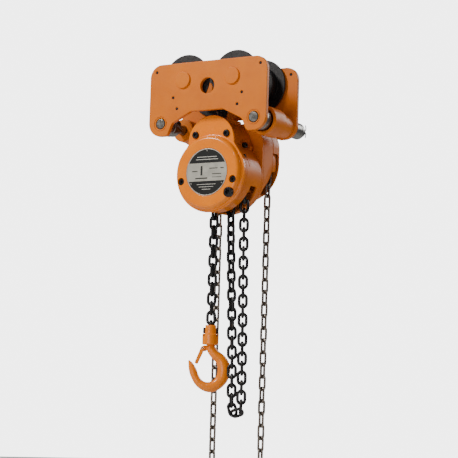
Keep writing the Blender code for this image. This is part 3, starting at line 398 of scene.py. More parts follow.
def evaluated(made):
    """The final mesh of an object, which is then removed."""
    bpy.context.view_layer.update()
    graph = bpy.context.evaluated_depsgraph_get()
    mesh = bpy.data.meshes.new_from_object(made.evaluated_get(graph))
    mesh.transform(made.matrix_world)
    bpy.data.objects.remove(made)
    return mesh


def flat(outlines, front, back, edge=0.0008, rounds=3):
    """Outlines in XZ, the first solid and the others holes, as a plate in Y with rounded edges."""
    data = bpy.data.curves.new("outline", "CURVE")
    data.dimensions = "2D"
    data.fill_mode = "BOTH"
    data.extrude = (back - front) / 2 - edge
    data.bevel_depth = edge
    data.bevel_resolution = rounds
    data.offset = -edge
    for i, outline in enumerate(outlines):
        if (area(outline) > 0) != (i == 0):
            outline = outline[::-1]
        spline = data.splines.new("POLY")
        spline.points.add(len(outline) - 1)
        for point, (x, z) in zip(spline.points, outline):
            point.co = (x, z, 0.0, 1.0)
        spline.use_cyclic_u = True
    made = bpy.data.objects.new("outline", data)
    bpy.context.scene.collection.objects.link(made)
    made.location = (0.0, (front + back) / 2, 0.0)
    made.rotation_euler = (math.pi / 2, 0.0, 0.0)
    return welded(evaluated(made))


def ring_point(axis, radius, height, angle):
    c, s = radius * math.cos(angle), radius * math.sin(angle)
    return {"X": (height, c, s), "Y": (c, height, s), "Z": (c, s, height)}[axis]


def turned(profile, centre, axis="Y", steps=72, closed=False, phase=0.0):
    """A profile of (radius, height) turned round an axis through the centre."""
    shape = bmesh.new()
    rows = []
    for radius, height in profile:
        if radius < 1e-7:
            rows.append([shape.verts.new(ring_point(axis, 0.0, height, 0.0))])
        else:
            rows.append([shape.verts.new(ring_point(axis, radius, height, phase + math.tau * i / steps))
                         for i in range(steps)])
    pairs = list(zip(rows, rows[1:])) + ([(rows[-1], rows[0])] if closed else [])
    for first, second in pairs:
        for i in range(steps):
            j = (i + 1) % steps
            corners = [first[i % len(first)], first[j % len(first)], second[j % len(second)],
                       second[i % len(second)]]
            unique = list(dict.fromkeys(corners))
            if len(unique) > 2:
                shape.faces.new(unique)
    bmesh.ops.recalc_face_normals(shape, faces=shape.faces)
    bmesh.ops.translate(shape, verts=shape.verts, vec=Vector(centre))
    return as_mesh(shape, "turned")


def turned_solid(profile, rounds, centre, axis="Y", steps=72):
    """A profile of (radius, height, corner radius) from axis to axis, with rounded corners, turned."""
    return turned(rounded(profile, rounds, closed=False), centre, axis, steps)


def turned_ring(profile, rounds, centre, axis="Y", steps=72):
    """A closed profile of (radius, height, corner radius) clear of the axis, with rounded corners, turned."""
    return turned(rounded(profile, rounds), centre, axis, steps, closed=True)


def rod(radius, low, high, centre, axis="Y", steps=48, edge=0.0006):
    profile = [(0.0, high, 0), (radius, high, edge), (radius, low, edge), (0.0, low, 0)]
    return turned_solid(profile, 4, centre, axis, steps)


def collar(inner, outer, low, high, centre, axis="Y", steps=72, edge=0.0006):
    profile = [(inner, high, edge), (outer, high, edge), (outer, low, edge), (inner, low, edge)]
    return turned_ring(profile, 4, centre, axis, steps)


def block(low, high, edge=0.0):
    """A box between two corners, with its edges rounded."""
    shape = bmesh.new()
    bmesh.ops.create_cube(shape, size=1.0)
    for vert in shape.verts:
        for k in range(3):
            vert.co[k] = low[k] + (vert.co[k] + 0.5) * (high[k] - low[k])
    if edge:
        bmesh.ops.bevel(shape, geom=shape.edges, offset=edge, segments=3, profile=0.5, affect="EDGES")
    return as_mesh(shape, "block")


def together(*meshes):
    """Several meshes as one."""
    shape = bmesh.new()
    for mesh in meshes:
        shape.from_mesh(mesh)
    return as_mesh(shape, "together")


def carve(mesh, others, operation="DIFFERENCE"):
    """The mesh after the others are cut from it, or joined to it."""
    host = bpy.data.objects.new("host", mesh)
    bpy.context.scene.collection.objects.link(host)
    tools = []
    for other in others:
        tool = bpy.data.objects.new("tool", other)
        bpy.context.scene.collection.objects.link(tool)
        step = host.modifiers.new("step", "BOOLEAN")
        step.operation = operation
        step.solver = "EXACT"
        step.object = tool
        tools.append(tool)
    made = evaluated(host)
    for tool in tools:
        bpy.data.objects.remove(tool)
    return made


def sweep(stations, section=28, squareness=2.0):
    """A closed solid through stations of (centre, in-plane normal, half height, half width, side)."""
    shape = bmesh.new()
    rows = []
    power = 2.0 / squareness
    for centre, normal, height, width, side in stations:
        row = []
        for i in range(section):
            angle = math.tau * i / section
            c, s = math.cos(angle), math.sin(angle)
            up = math.copysign(abs(c) ** power, c) * height
            out = math.copysign(abs(s) ** power, s) * width
            row.append(shape.verts.new(Vector(centre) + Vector(normal) * up + Vector(side) * out))
        rows.append(row)
    for first, second in zip(rows, rows[1:]):
        for i in range(section):
            j = (i + 1) % section
            shape.faces.new((first[i], first[j], second[j], second[i]))
    shape.faces.new(rows[0])
    shape.faces.new(rows[-1])
    bmesh.ops.recalc_face_normals(shape, faces=shape.faces)
    return as_mesh(shape, "sweep")


def wire(points, radius):
    """A round wire through the points, smoothed between them."""
    data = bpy.data.curves.new("wire", "CURVE")
    data.dimensions = "3D"
    data.bevel_depth = radius
    data.bevel_resolution = 4
    data.use_fill_caps = True
    spline = data.splines.new("NURBS")
    spline.points.add(len(points) - 1)
    for point, place in zip(spline.points, points):
        point.co = (*place, 1.0)
    spline.order_u = 3
    spline.use_endpoint_u = True
    spline.resolution_u = 5
    made = bpy.data.objects.new("wire", data)
    bpy.context.scene.collection.objects.link(made)
    return welded(evaluated(made))


def finished(name, mesh, material, nodes=(), body="frame", faceted=True):
    """A finished piece that rides on a body and stands for CAD nodes."""
    mesh.materials.clear()
    mesh.materials.append(MATERIALS[material])
    mesh.shade_smooth()
    mesh.set_sharp_from_angle(angle=SHARP)
    made = bpy.data.objects.new(name, mesh)
    bpy.context.scene.collection.objects.link(made)
    if faceted:
        normals = made.modifiers.new("normals", "WEIGHTED_NORMAL")
        normals.keep_sharp = True
        normals.weight = 100
    if body:
        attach(made, body)
    if nodes:
        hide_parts(*nodes)
    return made


# ---- Camera --------------------------------------------------------------------------------

def make_camera():
    right, up = Vector(VIEW_RIGHT).normalized(), Vector(VIEW_UP)
    up = (up - up.dot(right) * right).normalized()
    back = right.cross(up)
    data = bpy.data.cameras.new("camera")
    data.lens = LENS
    data.sensor_width = 36.0
    data.clip_start, data.clip_end = 0.1, 50.0
    made = bpy.data.objects.new("camera", data)
    turn = Matrix((right, up, back)).transposed().to_4x4()
    made.matrix_world = Matrix.Translation(EYE) @ turn
    bpy.context.scene.collection.objects.link(made)
    bpy.context.scene.camera = made


# ---- Chains --------------------------------------------------------------------------------

def link_stations(size):
    """Round one link: (along, across) of the wire's centre and its outward direction."""
    bend = (size["width"] - size["wire"]) / 2
    half = size["pitch"] / 2 + size["wire"] / 2 - bend
    found = []
    for end in (1, -1):
        for along, out in arc(0.0, 0.0, 1.0, -math.pi / 2, math.pi / 2, 9):
            found.append((end * (half + bend * along), end * bend * out, end * along, end * out))
    return found


def chain_mesh(path, size, twist, section=12):
    """Links along a path in the XZ plane, each a quarter turn from the last, on top of twist(share)."""
    lengths = [0.0]
    for a, b in zip(path, path[1:]):
        lengths.append(lengths[-1] + (b - a).length)
    total = lengths[-1]
    count = round(total / size["pitch"])
    stations = link_stations(size)
    verts, faces = [], []

    def at(distance):
        distance = max(0.0, min(total, distance))
        for i in range(1, len(path)):
            if distance <= lengths[i] or i == len(path) - 1:
                share = (distance - lengths[i - 1]) / (lengths[i] - lengths[i - 1])
                return path[i - 1].lerp(path[i], share)

    for k in range(count):
        start, end = at(total * k / count), at(total * (k + 1) / count)
        centre, along = (start + end) / 2, (end - start).normalized()
        side = Vector((0.0, 1.0, 0.0)).cross(along).normalized()
        angle = math.radians(twist((k + 0.5) / count)) + (k % 2) * math.pi / 2
        wide = side * math.cos(angle) + Vector((0.0, 1.0, 0.0)) * math.sin(angle)
        normal = along.cross(wide)
        base = len(verts)
        for a, b, na, nb in stations:
            place = centre + along * a + wide * b
            outward = along * na + wide * nb
            for i in range(section):
                turn = math.tau * i / section
                offset = outward * math.cos(turn) + normal * math.sin(turn)
                verts.append(place + offset * (size["wire"] / 2))
        for i in range(len(stations)):
            j = (i + 1) % len(stations)
            for m in range(section):
                n = (m + 1) % section
                faces.append((base + i * section + m, base + j * section + m,
                              base + j * section + n, base + i * section + n))
    mesh = bpy.data.meshes.new("chain")
    mesh.from_pydata(verts, [], faces)
    return welded(mesh)


def in_plane(points, y):
    return [Vector((x, y, z)) for x, z in points]


def leaning(top, low, count):
    """Points down a strand that hangs straight and leans in towards its lower end."""
    points = []
    for i in range(count + 1):
        share = i / count
        ease = share * share * (3 - 2 * share)
        points.append((top[0] + (low[0] - top[0]) * ease, top[1] + (low[1] - top[1]) * share))
    return points


def eased(values):
    """Twist in degrees that runs smoothly through (share, degrees) pairs."""
    def twist(share):
        for (a, first), (b, second) in zip(values, values[1:]):
            if share <= b:
                t = (share - a) / (b - a)
                return first + (second - first) * t * t * (3 - 2 * t)
        return values[-1][1]
    return twist


def hook_strand():
    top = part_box("load_chain_hook")[1].z
    pin_z = middle("chain_pin").z
    inset = LOAD_CHAIN["pitch"] / 2 - LOAD_CHAIN["wire"]
    path = in_plane([(-STRAND_X, top), (-STRAND_X, pin_z - inset)], CHAIN_Y)
    mesh = chain_mesh(path, LOAD_CHAIN, eased(((0.0, 0.0), (0.6, -12.0), (1.0, -30.0))))
    finished("load_chain_hook_links", mesh, "black_oxide", ["load_chain_hook"], "hook_block", faceted=False)


def slack_strand():
    over = arc(0.0, MAIN_Z, STRAND_X, math.pi, 0.0, 16)
    near, far = SLACK_LOOP_X
    turn = (far - near) / 2
    loop_z = SLACK_BOTTOM + turn + LOAD_CHAIN["width"] / 2
    down = leaning((STRAND_X, MAIN_Z), (near, loop_z), 24)[1:-1]
    bottom = arc(near + turn, loop_z, turn, -math.pi, 0.0, 10)
    up = leaning(ANCHOR, (far, loop_z), 24)[1:-1][::-1]
    path = in_plane(over + down + bottom + up + [ANCHOR], CHAIN_Y)
    twist = eased(((0.0, 0.0), (0.10, 0.0), (0.30, 30.0), (0.47, 59.0), (0.60, 31.0), (1.0, 31.0)))
    mesh = chain_mesh(path, LOAD_CHAIN, twist)
    made = finished("load_chain_slack_links", mesh, "black_oxide", ["load_chain_slack"], None,
                    faceted=False)
    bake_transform(made)


def hand_chain():
    r = HAND_WHEEL_PITCH
    loop_z = HAND_CHAIN_BOTTOM + r + HAND_CHAIN["width"] / 2
    outline = arc(0.0, MAIN_Z, r, math.pi, 0.0, 32) + arc(0.0, loop_z, r, 0.0, -math.pi, 32)
    path = in_plane(outline + outline[:1], HAND_CHAIN_Y)
    mesh = chain_mesh(path, HAND_CHAIN,
                      eased(((0.0, 0.0), (0.13, 0.0), (0.22, 22.0), (0.45, 28.0), (0.5, 0.0),
                                               (0.55, -14.0), (0.86, -14.0), (0.93, 0.0), (1.0, 0.0))))
    made = finished("hand_chain_links", mesh, "zinc_chain", ["hand_chain"], faceted=False)


# ---- Trolley -------------------------------------------------------------------------------

def plate_outline():
    w, top, foot = PLATE_HIGH.x, PLATE_HIGH.z, PLATE_LOW.z
    right = [(ARCH_HALF_TOP, ARCH_TOP, 0.008), (0.0825, -0.0495, 0.012), (0.0935, foot, 0.010),
             (w, foot, 0.029), (w, top, PLATE_CORNER)]
    return rounded(right + [(-x, z, r) for x, z, r in reversed(right)], 12)


def side_plate(name, side):
    low, high = sorted((side * PLATE_INNER_Y, side * PLATE_OUTER_Y))
    holes = [circle(*SIGHT_HOLE, 56)]
    for s in (-1, 1):
        holes += [circle(s * x, z, SMALL_HOLE_RADIUS, 20) for x, z in SMALL_HOLES]
        holes.append(circle(s * AXLE_X, AXLE_Z, AXLE_RADIUS + GAP, 32))
        holes.append(circle(s * SHAFT_X, SHAFT_Z, SHAFT_RADIUS + SHAFT_GAP, 40))
    plate = flat([plate_outline()] + holes, low, high, 0.0012)
    face = side * PLATE_OUTER_Y
    grooves = [collar(0.0140, 0.0152, face - 0.0014, face + 0.0014, (s * SHAFT_X, 0.0, SHAFT_Z), edge=0.0)
               for s in (-1, 1)]
    finished("side_plate_%s_finished" % name, carve(plate, grooves), "orange_paint", ["side_plate_" + name])
    # Painted shade: black plugs fill the small holes so they read dark. Those in the front plate are plain,
    # and those in the rear plate carry a hex socket.
    inner, outer = sorted((side * (PLATE_INNER_Y + 0.0005), side * (PLATE_OUTER_Y - 0.0012)))
    screws = []
    for s in (-1, 1):
        for x, z in SMALL_HOLES:
            place = (s * x, 0.0, z)
            screw = rod(SMALL_HOLE_RADIUS - 0.00005, inner, outer, place, steps=20, edge=0.0003)
            if side > 0:
                socket = rod(SMALL_HOLE_RADIUS * 0.5, outer - 0.002, outer + 0.002, place, steps=6,
                             edge=0.0)
                screw = carve(screw, [socket])
            screws.append(screw)
    finished("side_plate_%s_set_screws" % name, together(*screws), "black_oxide")


def facing(profile, side):
    """A profile listed for the rear (+Y) side, mirrored for the front."""
    return profile if side > 0 else [(r, -y) for r, y in profile]


def track_wheel(where, side, x_sign, body):
    """Coned tread, guide flange and a recessed face round the sealed bearing."""
    outer, inner, flange = WHEEL_OUTER_Y, WHEEL_INNER_Y, WHEEL_FLANGE_Y
    bore = AXLE_RADIUS + GAP
    profile = [(bore, outer, 0), (0.0200, outer, 0.0006), (0.0230, outer - 0.002, 0.0006),
               (WHEEL_FLANGE_RADIUS, outer - 0.002, 0.0015), (WHEEL_FLANGE_RADIUS, flange, 0.0015),
               (TREAD_RADIUS, flange, 0.0010), (TREAD_RADIUS, inner, 0.0015), (0.0300, inner, 0.0008),
               (0.0290, inner + 0.002, 0.0006), (0.0220, inner + 0.002, 0.0006),
               (0.0210, inner + 0.0005, 0.0004),
               (bore, inner + 0.0005, 0)]
    mesh = turned(facing(rounded(profile, 4), side), (x_sign * AXLE_X, 0.0, AXLE_Z), steps=96, closed=True)
    finished("track_wheel_%s_finished" % where, mesh, "dark_iron", ["track_wheel_" + where], body)


def wheel_axle(where, side, x_sign):
    """Axle riveted in the plate, with its head outside and a retaining collar on the beam's side."""
    head, inner = PLATE_OUTER_Y + GAP, WHEEL_INNER_Y - GAP
    top = head + AXLE_HEAD_THICK
    profile = [(0.0, top, 0), (AXLE_HEAD_RADIUS, top, 0.0012), (AXLE_HEAD_RADIUS, head, 0.0003),
               (AXLE_RADIUS, head, 0), (AXLE_RADIUS, inner, 0), (0.0130, inner, 0.0005),
               (0.0130, inner - 0.004, 0.0010), (0.0, inner - 0.004, 0)]
    mesh = turned(facing(rounded(profile, 4, closed=False), side), (x_sign * AXLE_X, 0.0, AXLE_Z), steps=64)
    finished("wheel_axle_%s_finished" % where, mesh, "orange_paint", ["wheel_axle_" + where])


def suspension(end, x_sign):
    centre = (x_sign * SHAFT_X, 0.0, SHAFT_Z)
    shaft = rod(SHAFT_RADIUS, SHAFT_FRONT_Y, SHAFT_BACK_Y, centre, edge=0.0010)
    hole = rod(COTTER_RADIUS + GAP, -0.03, 0.03, (centre[0], COTTER_Y, SHAFT_Z), "X", 24, 0.0)
    finished("suspension_shaft_%s_finished" % end, carve(shaft, [hole]), "bare_steel",
             ["suspension_shaft_" + end])
    bore = SHAFT_RADIUS + GAP
    front, gauge = YOKE_FRONT_Y + RING_RECESS_DEPTH - GAP, -PLATE_INNER_Y + GAP
    e = 0.0008
    profile = [(bore, front, 0), (0.0195, front, e), (0.0195, -0.0300, e), (SPACER_RADIUS, -0.0305, e),
               (SPACER_RADIUS, -0.0395, e), (0.0200, -0.0402, e), (0.0200, -0.0412, e),
               (SPACER_RADIUS, -0.0419, e),
               (SPACER_RADIUS, -0.0490, e), (0.0180, -0.0500, e), (0.0180, gauge, e), (bore, gauge, 0)]
    spacer = turned_ring(profile, 3, centre)
    finished("front_spacer_%s_finished" % end, spacer, "bare_steel", ["front_spacer_" + end])
    spacer = collar(bore, REAR_SPACER_RADIUS, YOKE_BACK_Y + GAP, PLATE_INNER_Y - GAP, centre, edge=0.0012)
    finished("rear_spacer_%s_finished" % end, spacer, "orange_paint", ["rear_spacer_" + end])
    washers(end, centre, bore)
    cotter_pin(end, centre)


def washers(end, centre, bore):
    """Adjusting washers on the shaft's rear end, each a little out of line with the next."""
    first, last = across("outer_washers_" + end)
    pitch = (last - first) / WASHER_COUNT
    discs = []
    for i in range(WASHER_COUNT):
        low = first + i * pitch
        lean = 0.0003 * math.sin(2.4 * i)
        place = (centre[0] + lean, 0.0, centre[2] - abs(lean) * 0.5)
        discs.append(collar(bore - GAP / 2, WASHER_RADIUS - 0.0004, low, low + pitch - 0.0001, place,
                            edge=0.0009))
    finished("outer_washers_%s_finished" % end, together(*discs), "bare_steel", ["outer_washers_" + end])


def cotter_pin(end, centre):
    """Split pin: an eye, two legs through the shaft, and the legs bent up and down behind it."""
    x, z = centre[0], centre[2]
    meshes = []
    for s in (-1, 1):
        leg = [(x - 0.0132, COTTER_Y, z), (x - 0.0140, COTTER_Y, z + s * 0.0020),
               (x - 0.0120, COTTER_Y, z + s * 0.0028),
               (x - 0.0100, COTTER_Y, z + s * 0.0008), (x, COTTER_Y, z + s * 0.0008),
               (x + 0.0115, COTTER_Y, z + s * 0.0009), (x + 0.0140, COTTER_Y, z + s * 0.0030),
               (x + 0.0142, COTTER_Y, z + s * 0.0085), (x + 0.0128, COTTER_Y, z + s * 0.0130)]
        meshes.append(wire(leg, 0.0010))
    finished("cotter_pin_%s_finished" % end, together(*meshes), "black_oxide", ["cotter_pin_" + end])


def yoke():
    """Forged bar with a bored ring boss at each end and an arch that clears the hoist."""
    seat = math.acos(YOKE_SEAT_HALF / YOKE_ARCH_RADIUS)
    foot = math.asin((YOKE_BOTTOM + 0.012 - MAIN_Z) / YOKE_ARCH_RADIUS)
    under = arc(0.0, MAIN_Z, YOKE_ARCH_RADIUS, seat, foot, 18)
    end = arc(SHAFT_X, SHAFT_Z, RING_RADIUS - 0.003, math.radians(250), math.radians(110), 24)
    right = [(YOKE_SEAT_HALF - 0.004, YOKE_SEAT_Z)] + under
    right += [(0.083, YOKE_BOTTOM), (end[0][0], YOKE_BOTTOM)] + end + [(end[-1][0], YOKE_TOP)]
    bar = flat([mirrored(right)], YOKE_FRONT_Y + 0.001, YOKE_BACK_Y - 0.001, 0.0030, 4)
    bore, step = SHAFT_RADIUS + GAP, YOKE_FRONT_Y + RING_RECESS_DEPTH
    profile = [(bore, YOKE_BACK_Y, 0), (RING_RADIUS, YOKE_BACK_Y, 0.0020),
               (RING_RADIUS, YOKE_FRONT_Y, 0.0020),
               (RING_RECESS_RADIUS, YOKE_FRONT_Y, 0.0010), (RING_RECESS_RADIUS, step, 0.0010),
               (bore, step, 0)]
    rings = [turned_ring(profile, 5, (s * SHAFT_X, 0.0, SHAFT_Z), steps=96) for s in (-1, 1)]
    bar = carve(bar, rings, "UNION")
    hole = rod(HANGER_RADIUS + GAP, -0.1, 0.1, (0.0, middle("hanger_bolt").y, 0.0), "Z", edge=0.0)
    finished("yoke_finished", carve(bar, [hole]), "orange_paint", ["yoke"])


def hanger_bolt():
    low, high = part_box("hanger_bolt")
    centre = (0.0, middle("hanger_bolt").y, 0.0)
    seat = YOKE_TOP + GAP
    head = [(0.0, high.z, 0), (0.0132, high.z, 0.0008), (0.0145, high.z - 0.0012, 0.0004),
            (0.0145, seat, 0.0003),
            (0.0, seat, 0)]
    shank = rod(HANGER_RADIUS, low.z, seat + 0.002, centre, "Z")
    hexagon = turned_solid(head, 3, centre, "Z", 6)
    finished("hanger_bolt_finished", together(hexagon, shank), "black_oxide", ["hanger_bolt"])


# ---- Hoist body ----------------------------------------------------------------------------

def pear(big, lobe, count=72):
    """Big round bottom with a smaller lobe on top."""
    bottom = arc(0.0, FACE_Z, big, -math.pi - BIG_TANGENT, BIG_TANGENT, count)
    top = arc(0.0, LOBE_Z, lobe, LOBE_TANGENT, math.pi - LOBE_TANGENT, count // 2)
    return bottom + top


def casing_outline(centre_z, radius, shrink=0.0, count=56):
    """Round bottom about a centre, straight sides and a round-cornered top."""
    corner, top = 0.045 - shrink, SHELL_TOP - 0.004 - shrink
    bottom = arc(0.0, centre_z, radius, -math.pi, 0.0, count)
    right = arc(radius - corner, top - corner, corner, 0.0, math.pi / 2, 16)
    left = arc(corner - radius, top - corner, corner, math.pi / 2, math.pi, 16)
    return bottom + right + left


def frame_plates():
    bearing = circle(0.0, MAIN_Z, 0.0190 + GAP, 64)
    bolts = [circle(x, z, 0.0035 + GAP, 20) for x, z in COVER_BOLTS]
    front = flat([pear(SHELL_RADIUS, SHELL_LOBE), bearing] + bolts, *across("frame_plate_front"), 0.0008)
    finished("frame_plate_front_finished", front, "orange_paint", ["frame_plate_front"])
    low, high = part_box("frame_plate_front")
    thick = high.y - low.y
    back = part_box("body_shell")[1].y + GAP
    rear = flat([casing_outline(FACE_Z, SHELL_RADIUS), bearing], back, back + thick, 0.0008)
    anchor = rod(0.004, high.y + GAP, back + 0.002, (ANCHOR[0], 0.0, ANCHOR[1] + 0.0045))
    finished("frame_plate_rear_finished", carve(rear, [anchor], "UNION"), "orange_paint",
             ["frame_plate_rear"])


def slit(near_x, far_x, half_width):
    """Slanted slot through the shell's side, as a slab in X."""
    (ya, za), (yb, zb) = SLIT
    shape = bmesh.new()
    corners = [(ya - half_width, za), (ya + half_width, za), (yb + half_width, zb), (yb - half_width, zb)]
    rows = [[shape.verts.new((x, y, z)) for y, z in corners] for x in (near_x, far_x)]
    for i in range(4):
        j = (i + 1) % 4
        shape.faces.new((rows[0][i], rows[0][j], rows[1][j], rows[1][i]))
    shape.faces.new(rows[0])
    shape.faces.new(rows[1])
    bmesh.ops.recalc_face_normals(shape, faces=shape.faces)
    return as_mesh(shape, "slit")


def body_shell():
    """Wall between the frame plates, open below for the chain, with its slit, sight hole and boss."""
    front, back = across("body_shell")
    outer, inner = pear(SHELL_RADIUS, SHELL_LOBE), pear(SHELL_RADIUS - SHELL_WALL, SHELL_LOBE - SHELL_WALL)
    shell = flat([outer, inner], front, back, 0.0006)
    bolt_y = middle("hanger_bolt").y
    lug = block((-0.026, front + 0.0005, -0.066), (0.026, back - 0.0005, SHELL_TOP), 0.002)
    shell = carve(shell, [lug], "UNION")
    cutters = [
        rod(HANGER_RADIUS + GAP, -0.0640, 0.1, (0.0, bolt_y, 0.0), "Z", edge=0.0),
        block((-0.033, CHAIN_Y - 0.0145, -0.25), (0.068, CHAIN_Y + 0.0145, -0.19), 0.002),
        block((0.036, CHAIN_Y - 0.0125, -0.20), (0.09, CHAIN_Y + 0.0125, -0.176), 0.002),
        rod(0.0365, -0.1, 0.1, (0.0, 0.0, MAIN_Z), steps=80, edge=0.0),
        slit(0.060, 0.090, SLIT_HALF_WIDTH),
    ]
    shell = carve(shell, cutters)
    profile = [(0.0, 0.0585, 0), (0.0045, 0.0585, 0.0012), (0.0045, 0.0440, 0), (0.0, 0.0440, 0)]
    boss = turned_solid(profile, 4, (0.0, 0.0160, -0.0955), "X", 32)
    seat = rod(0.0085, 0.0440, 0.0515, (0.0, *SIDE_BOLT), "X", 40, 0.0008)
    finished("body_shell_finished", carve(shell, [boss, seat], "UNION"), "orange_paint", ["body_shell"])
    # Painted shade: a black slab set just inside the slit makes the gap read dark, as its shaded inside
    # would.
    finished("body_shell_slit_painted_shade", slit(0.064, 0.0706, SLIT_HALF_WIDTH + 0.0004), "black_enamel")
    profile = [(0.0, 0.0590, 0), (0.0062, 0.0590, 0.0008), (0.0066, 0.0512, 0.0002), (0.0, 0.0512, 0)]
    head = turned_solid(profile, 3, (0.0, *SIDE_BOLT), "X", 6)
    hollow = rod(0.0034, 0.0550, 0.0700, (0.0, *SIDE_BOLT), "X", 6, 0.0)
    finished("body_side_bolt", carve(head, [hollow]), "black_oxide")


def loft(rings):
    """A closed wall through rings of equally many points; the last ring joins the first."""
    shape = bmesh.new()
    rows = [[shape.verts.new(point) for point in ring] for ring in rings]
    for i, row in enumerate(rows):
        after = rows[(i + 1) % len(rows)]
        for j in range(len(row)):
            k = (j + 1) % len(row)
            shape.faces.new((row[j], row[k], after[k], after[j]))
    bmesh.ops.recalc_face_normals(shape, faces=shape.faces)
    return as_mesh(shape, "loft")


def brake_housing():
    """Wall that tapers from the frame's round bottom to the hand wheel's cover in a soft curve."""
    front, back = across("brake_housing")
    first, last = casing_outline(FACE_Z, SHELL_RADIUS), casing_outline(MAIN_Z, WHEEL_COVER_RADIUS)
    w = COVER_WALL
    first_in = casing_outline(FACE_Z, SHELL_RADIUS - w, w)
    last_in = casing_outline(MAIN_Z, WHEEL_COVER_RADIUS - w, w)

    def between(a, b, share):
        y = front + (back - front) * share
        ease = share * share * (3 - 2 * share)
        return [(p[0] + (q[0] - p[0]) * ease, y, p[1] + (q[1] - p[1]) * ease) for p, q in zip(a, b)]

    shares = [i / 12 for i in range(13)]
    outside = [between(first, last, share) for share in shares]
    inside = [between(first_in, last_in, share) for share in reversed(shares)]
    finished("brake_housing_finished", loft(outside + inside), "orange_paint", ["brake_housing"])


def on_circle(radius, degrees, centre_z):
    """A point on a circle in XZ about (0, centre_z)."""
    angle = math.radians(degrees)
    return (radius * math.cos(angle), 0.0, centre_z + radius * math.sin(angle))


def wheel_cover():
    """Dish over the hand wheel with a slot each side, a raised hub, and the guides behind the slots."""
    front, back = across("wheel_cover")
    cover = flat([casing_outline(MAIN_Z, WHEEL_COVER_RADIUS)], front, back, 0.0035, 5)
    room = flat([casing_outline(MAIN_Z, WHEEL_COVER_RADIUS - COVER_WALL, COVER_WALL)],
                front - 0.01, back - COVER_WALL, 0.0015)
    profile = [(0.0, back + 0.0020, 0), (0.0260, back + 0.0020, 0.0015), (0.0290, back - 0.0010, 0),
               (0.0, back - 0.0010, 0)]
    hub = turned_solid(profile, 4, (0.0, 0.0, MAIN_Z))
    slots = []
    for _, s in SIDES:
        low, high = sorted((s * 0.040, s * 0.090))
        slots.append(block((low, SLOT_Y[0], MAIN_Z - 0.09), (high, SLOT_Y[1], MAIN_Z + 0.020), 0.0010))
    cover = carve(carve(cover, [room] + slots), [hub], "UNION")
    finished("wheel_cover_finished", cover, "orange_paint", ["wheel_cover"])
    guides = []
    for _, s in SIDES:
        start = math.radians(15 if s > 0 else 165)
        outer = arc(0.0, MAIN_Z, 0.0725, start, start - s * math.radians(29), 16)
        inner = arc(0.0, MAIN_Z, 0.0695, start - s * math.radians(29), start, 16)
        guides.append(flat([outer + inner], SLOT_Y[0] - 0.0015, SLOT_Y[1] - 0.0035, 0.0004))
    finished("wheel_cover_guides", together(*guides), "orange_paint")
    screws = []
    profile = [(0.0, back + 0.0052, 0), (0.0056, back + 0.0052, 0.0006), (0.0056, back + 0.0010, 0),
               (0.0, back + 0.0010, 0)]
    for angle in (30, 150, 270):
        centre = on_circle(WHEEL_COVER_SCREW_CIRCLE, angle, MAIN_Z)
        screws.append(rod(0.0072, back, back + 0.0012, centre, steps=40, edge=0.0004))
        screws.append(turned_solid(profile, 3, centre, steps=6))
    finished("wheel_cover_screws", together(*screws), "black_oxide")


# ---- Gear cover ----------------------------------------------------------------------------

def gear_cover():
    """Pear-shaped flange with a round domed face, a flared foot round the dome and seats for the screws."""
    back = across("gear_cover")[1]
    lip = flat([pear(COVER_RADIUS, COVER_LOBE)], COVER_FLANGE_Y, COVER_FLANGE_Y + COVER_LIP, 0.0015, 5)
    joint = flat([pear(COVER_RADIUS - 0.003, COVER_LOBE - 0.003)], COVER_FLANGE_Y + COVER_LIP - 0.001,
                 back, 0.0003, 1)
    flange = carve(lip, [joint], "UNION")
    recess, floor = NAMEPLATE_RADIUS + 0.0008, FACE_Y + 0.0013
    foot = arc(DOME_RADIUS + 0.0035, COVER_FLANGE_Y - 0.0035, 0.0035, math.pi / 2, math.pi, 8)
    shoulder = arc(0.0, 0.0, 1.0, 0.0, math.pi / 2, 14)
    rim = [(DOME_FLAT + (DOME_RADIUS - DOME_FLAT) * c,
            COVER_FLANGE_Y - 0.0035 + (FACE_Y - COVER_FLANGE_Y + 0.0035) * s) for c, s in shoulder]
    profile = [(0.0, COVER_FLANGE_Y + 0.003),
               (DOME_RADIUS + 0.0035, COVER_FLANGE_Y + 0.003)] + foot[:-1] + rim
    profile += [(recess + 0.0008, FACE_Y), (recess + 0.0002, FACE_Y + 0.0003), (recess, FACE_Y + 0.0008),
                (recess, floor), (0.0, floor)]
    dome = turned(profile, (0.0, 0.0, FACE_Z), steps=160)
    cover = carve(flange, [dome], "UNION")
    rooms = [
        flat([pear(COVER_RADIUS - 0.006, COVER_LOBE - 0.006)], -0.0420, 0.0, 0.0002, 1),
        rod(0.0655, -0.0535, 0.0, (0.0, 0.0, FACE_Z), steps=96, edge=0.0),
    ]
    cover = carve(cover, rooms)
    pillars = [rod(0.0088, -0.0545, -0.0360, (x, 0.0, z), steps=40, edge=0.0) for x, z in COVER_BOLTS[2:]]
    cover = carve(cover, pillars, "UNION")
    cutters = []
    for (x, z), seat in zip(COVER_BOLTS, COVER_BOLT_SEATS):
        cutters.append(rod(0.0035 + GAP, -0.1, 0.0, (x, 0.0, z), steps=24, edge=0.0))
        cutters.append(rod(0.0078, -0.1, seat, (x, 0.0, z), steps=40, edge=0.0))
    x, z = OIL_PLUG
    cutters.append(rod(0.0060 + GAP, -0.1, 0.0, (x, 0.0, z), steps=24, edge=0.0))
    cutters.append(rod(0.0108, -0.1, FACE_Y + 0.004, (x, 0.0, z), steps=48, edge=0.0))
    finished("gear_cover_finished", carve(cover, cutters), "bright_orange_paint", ["gear_cover"])


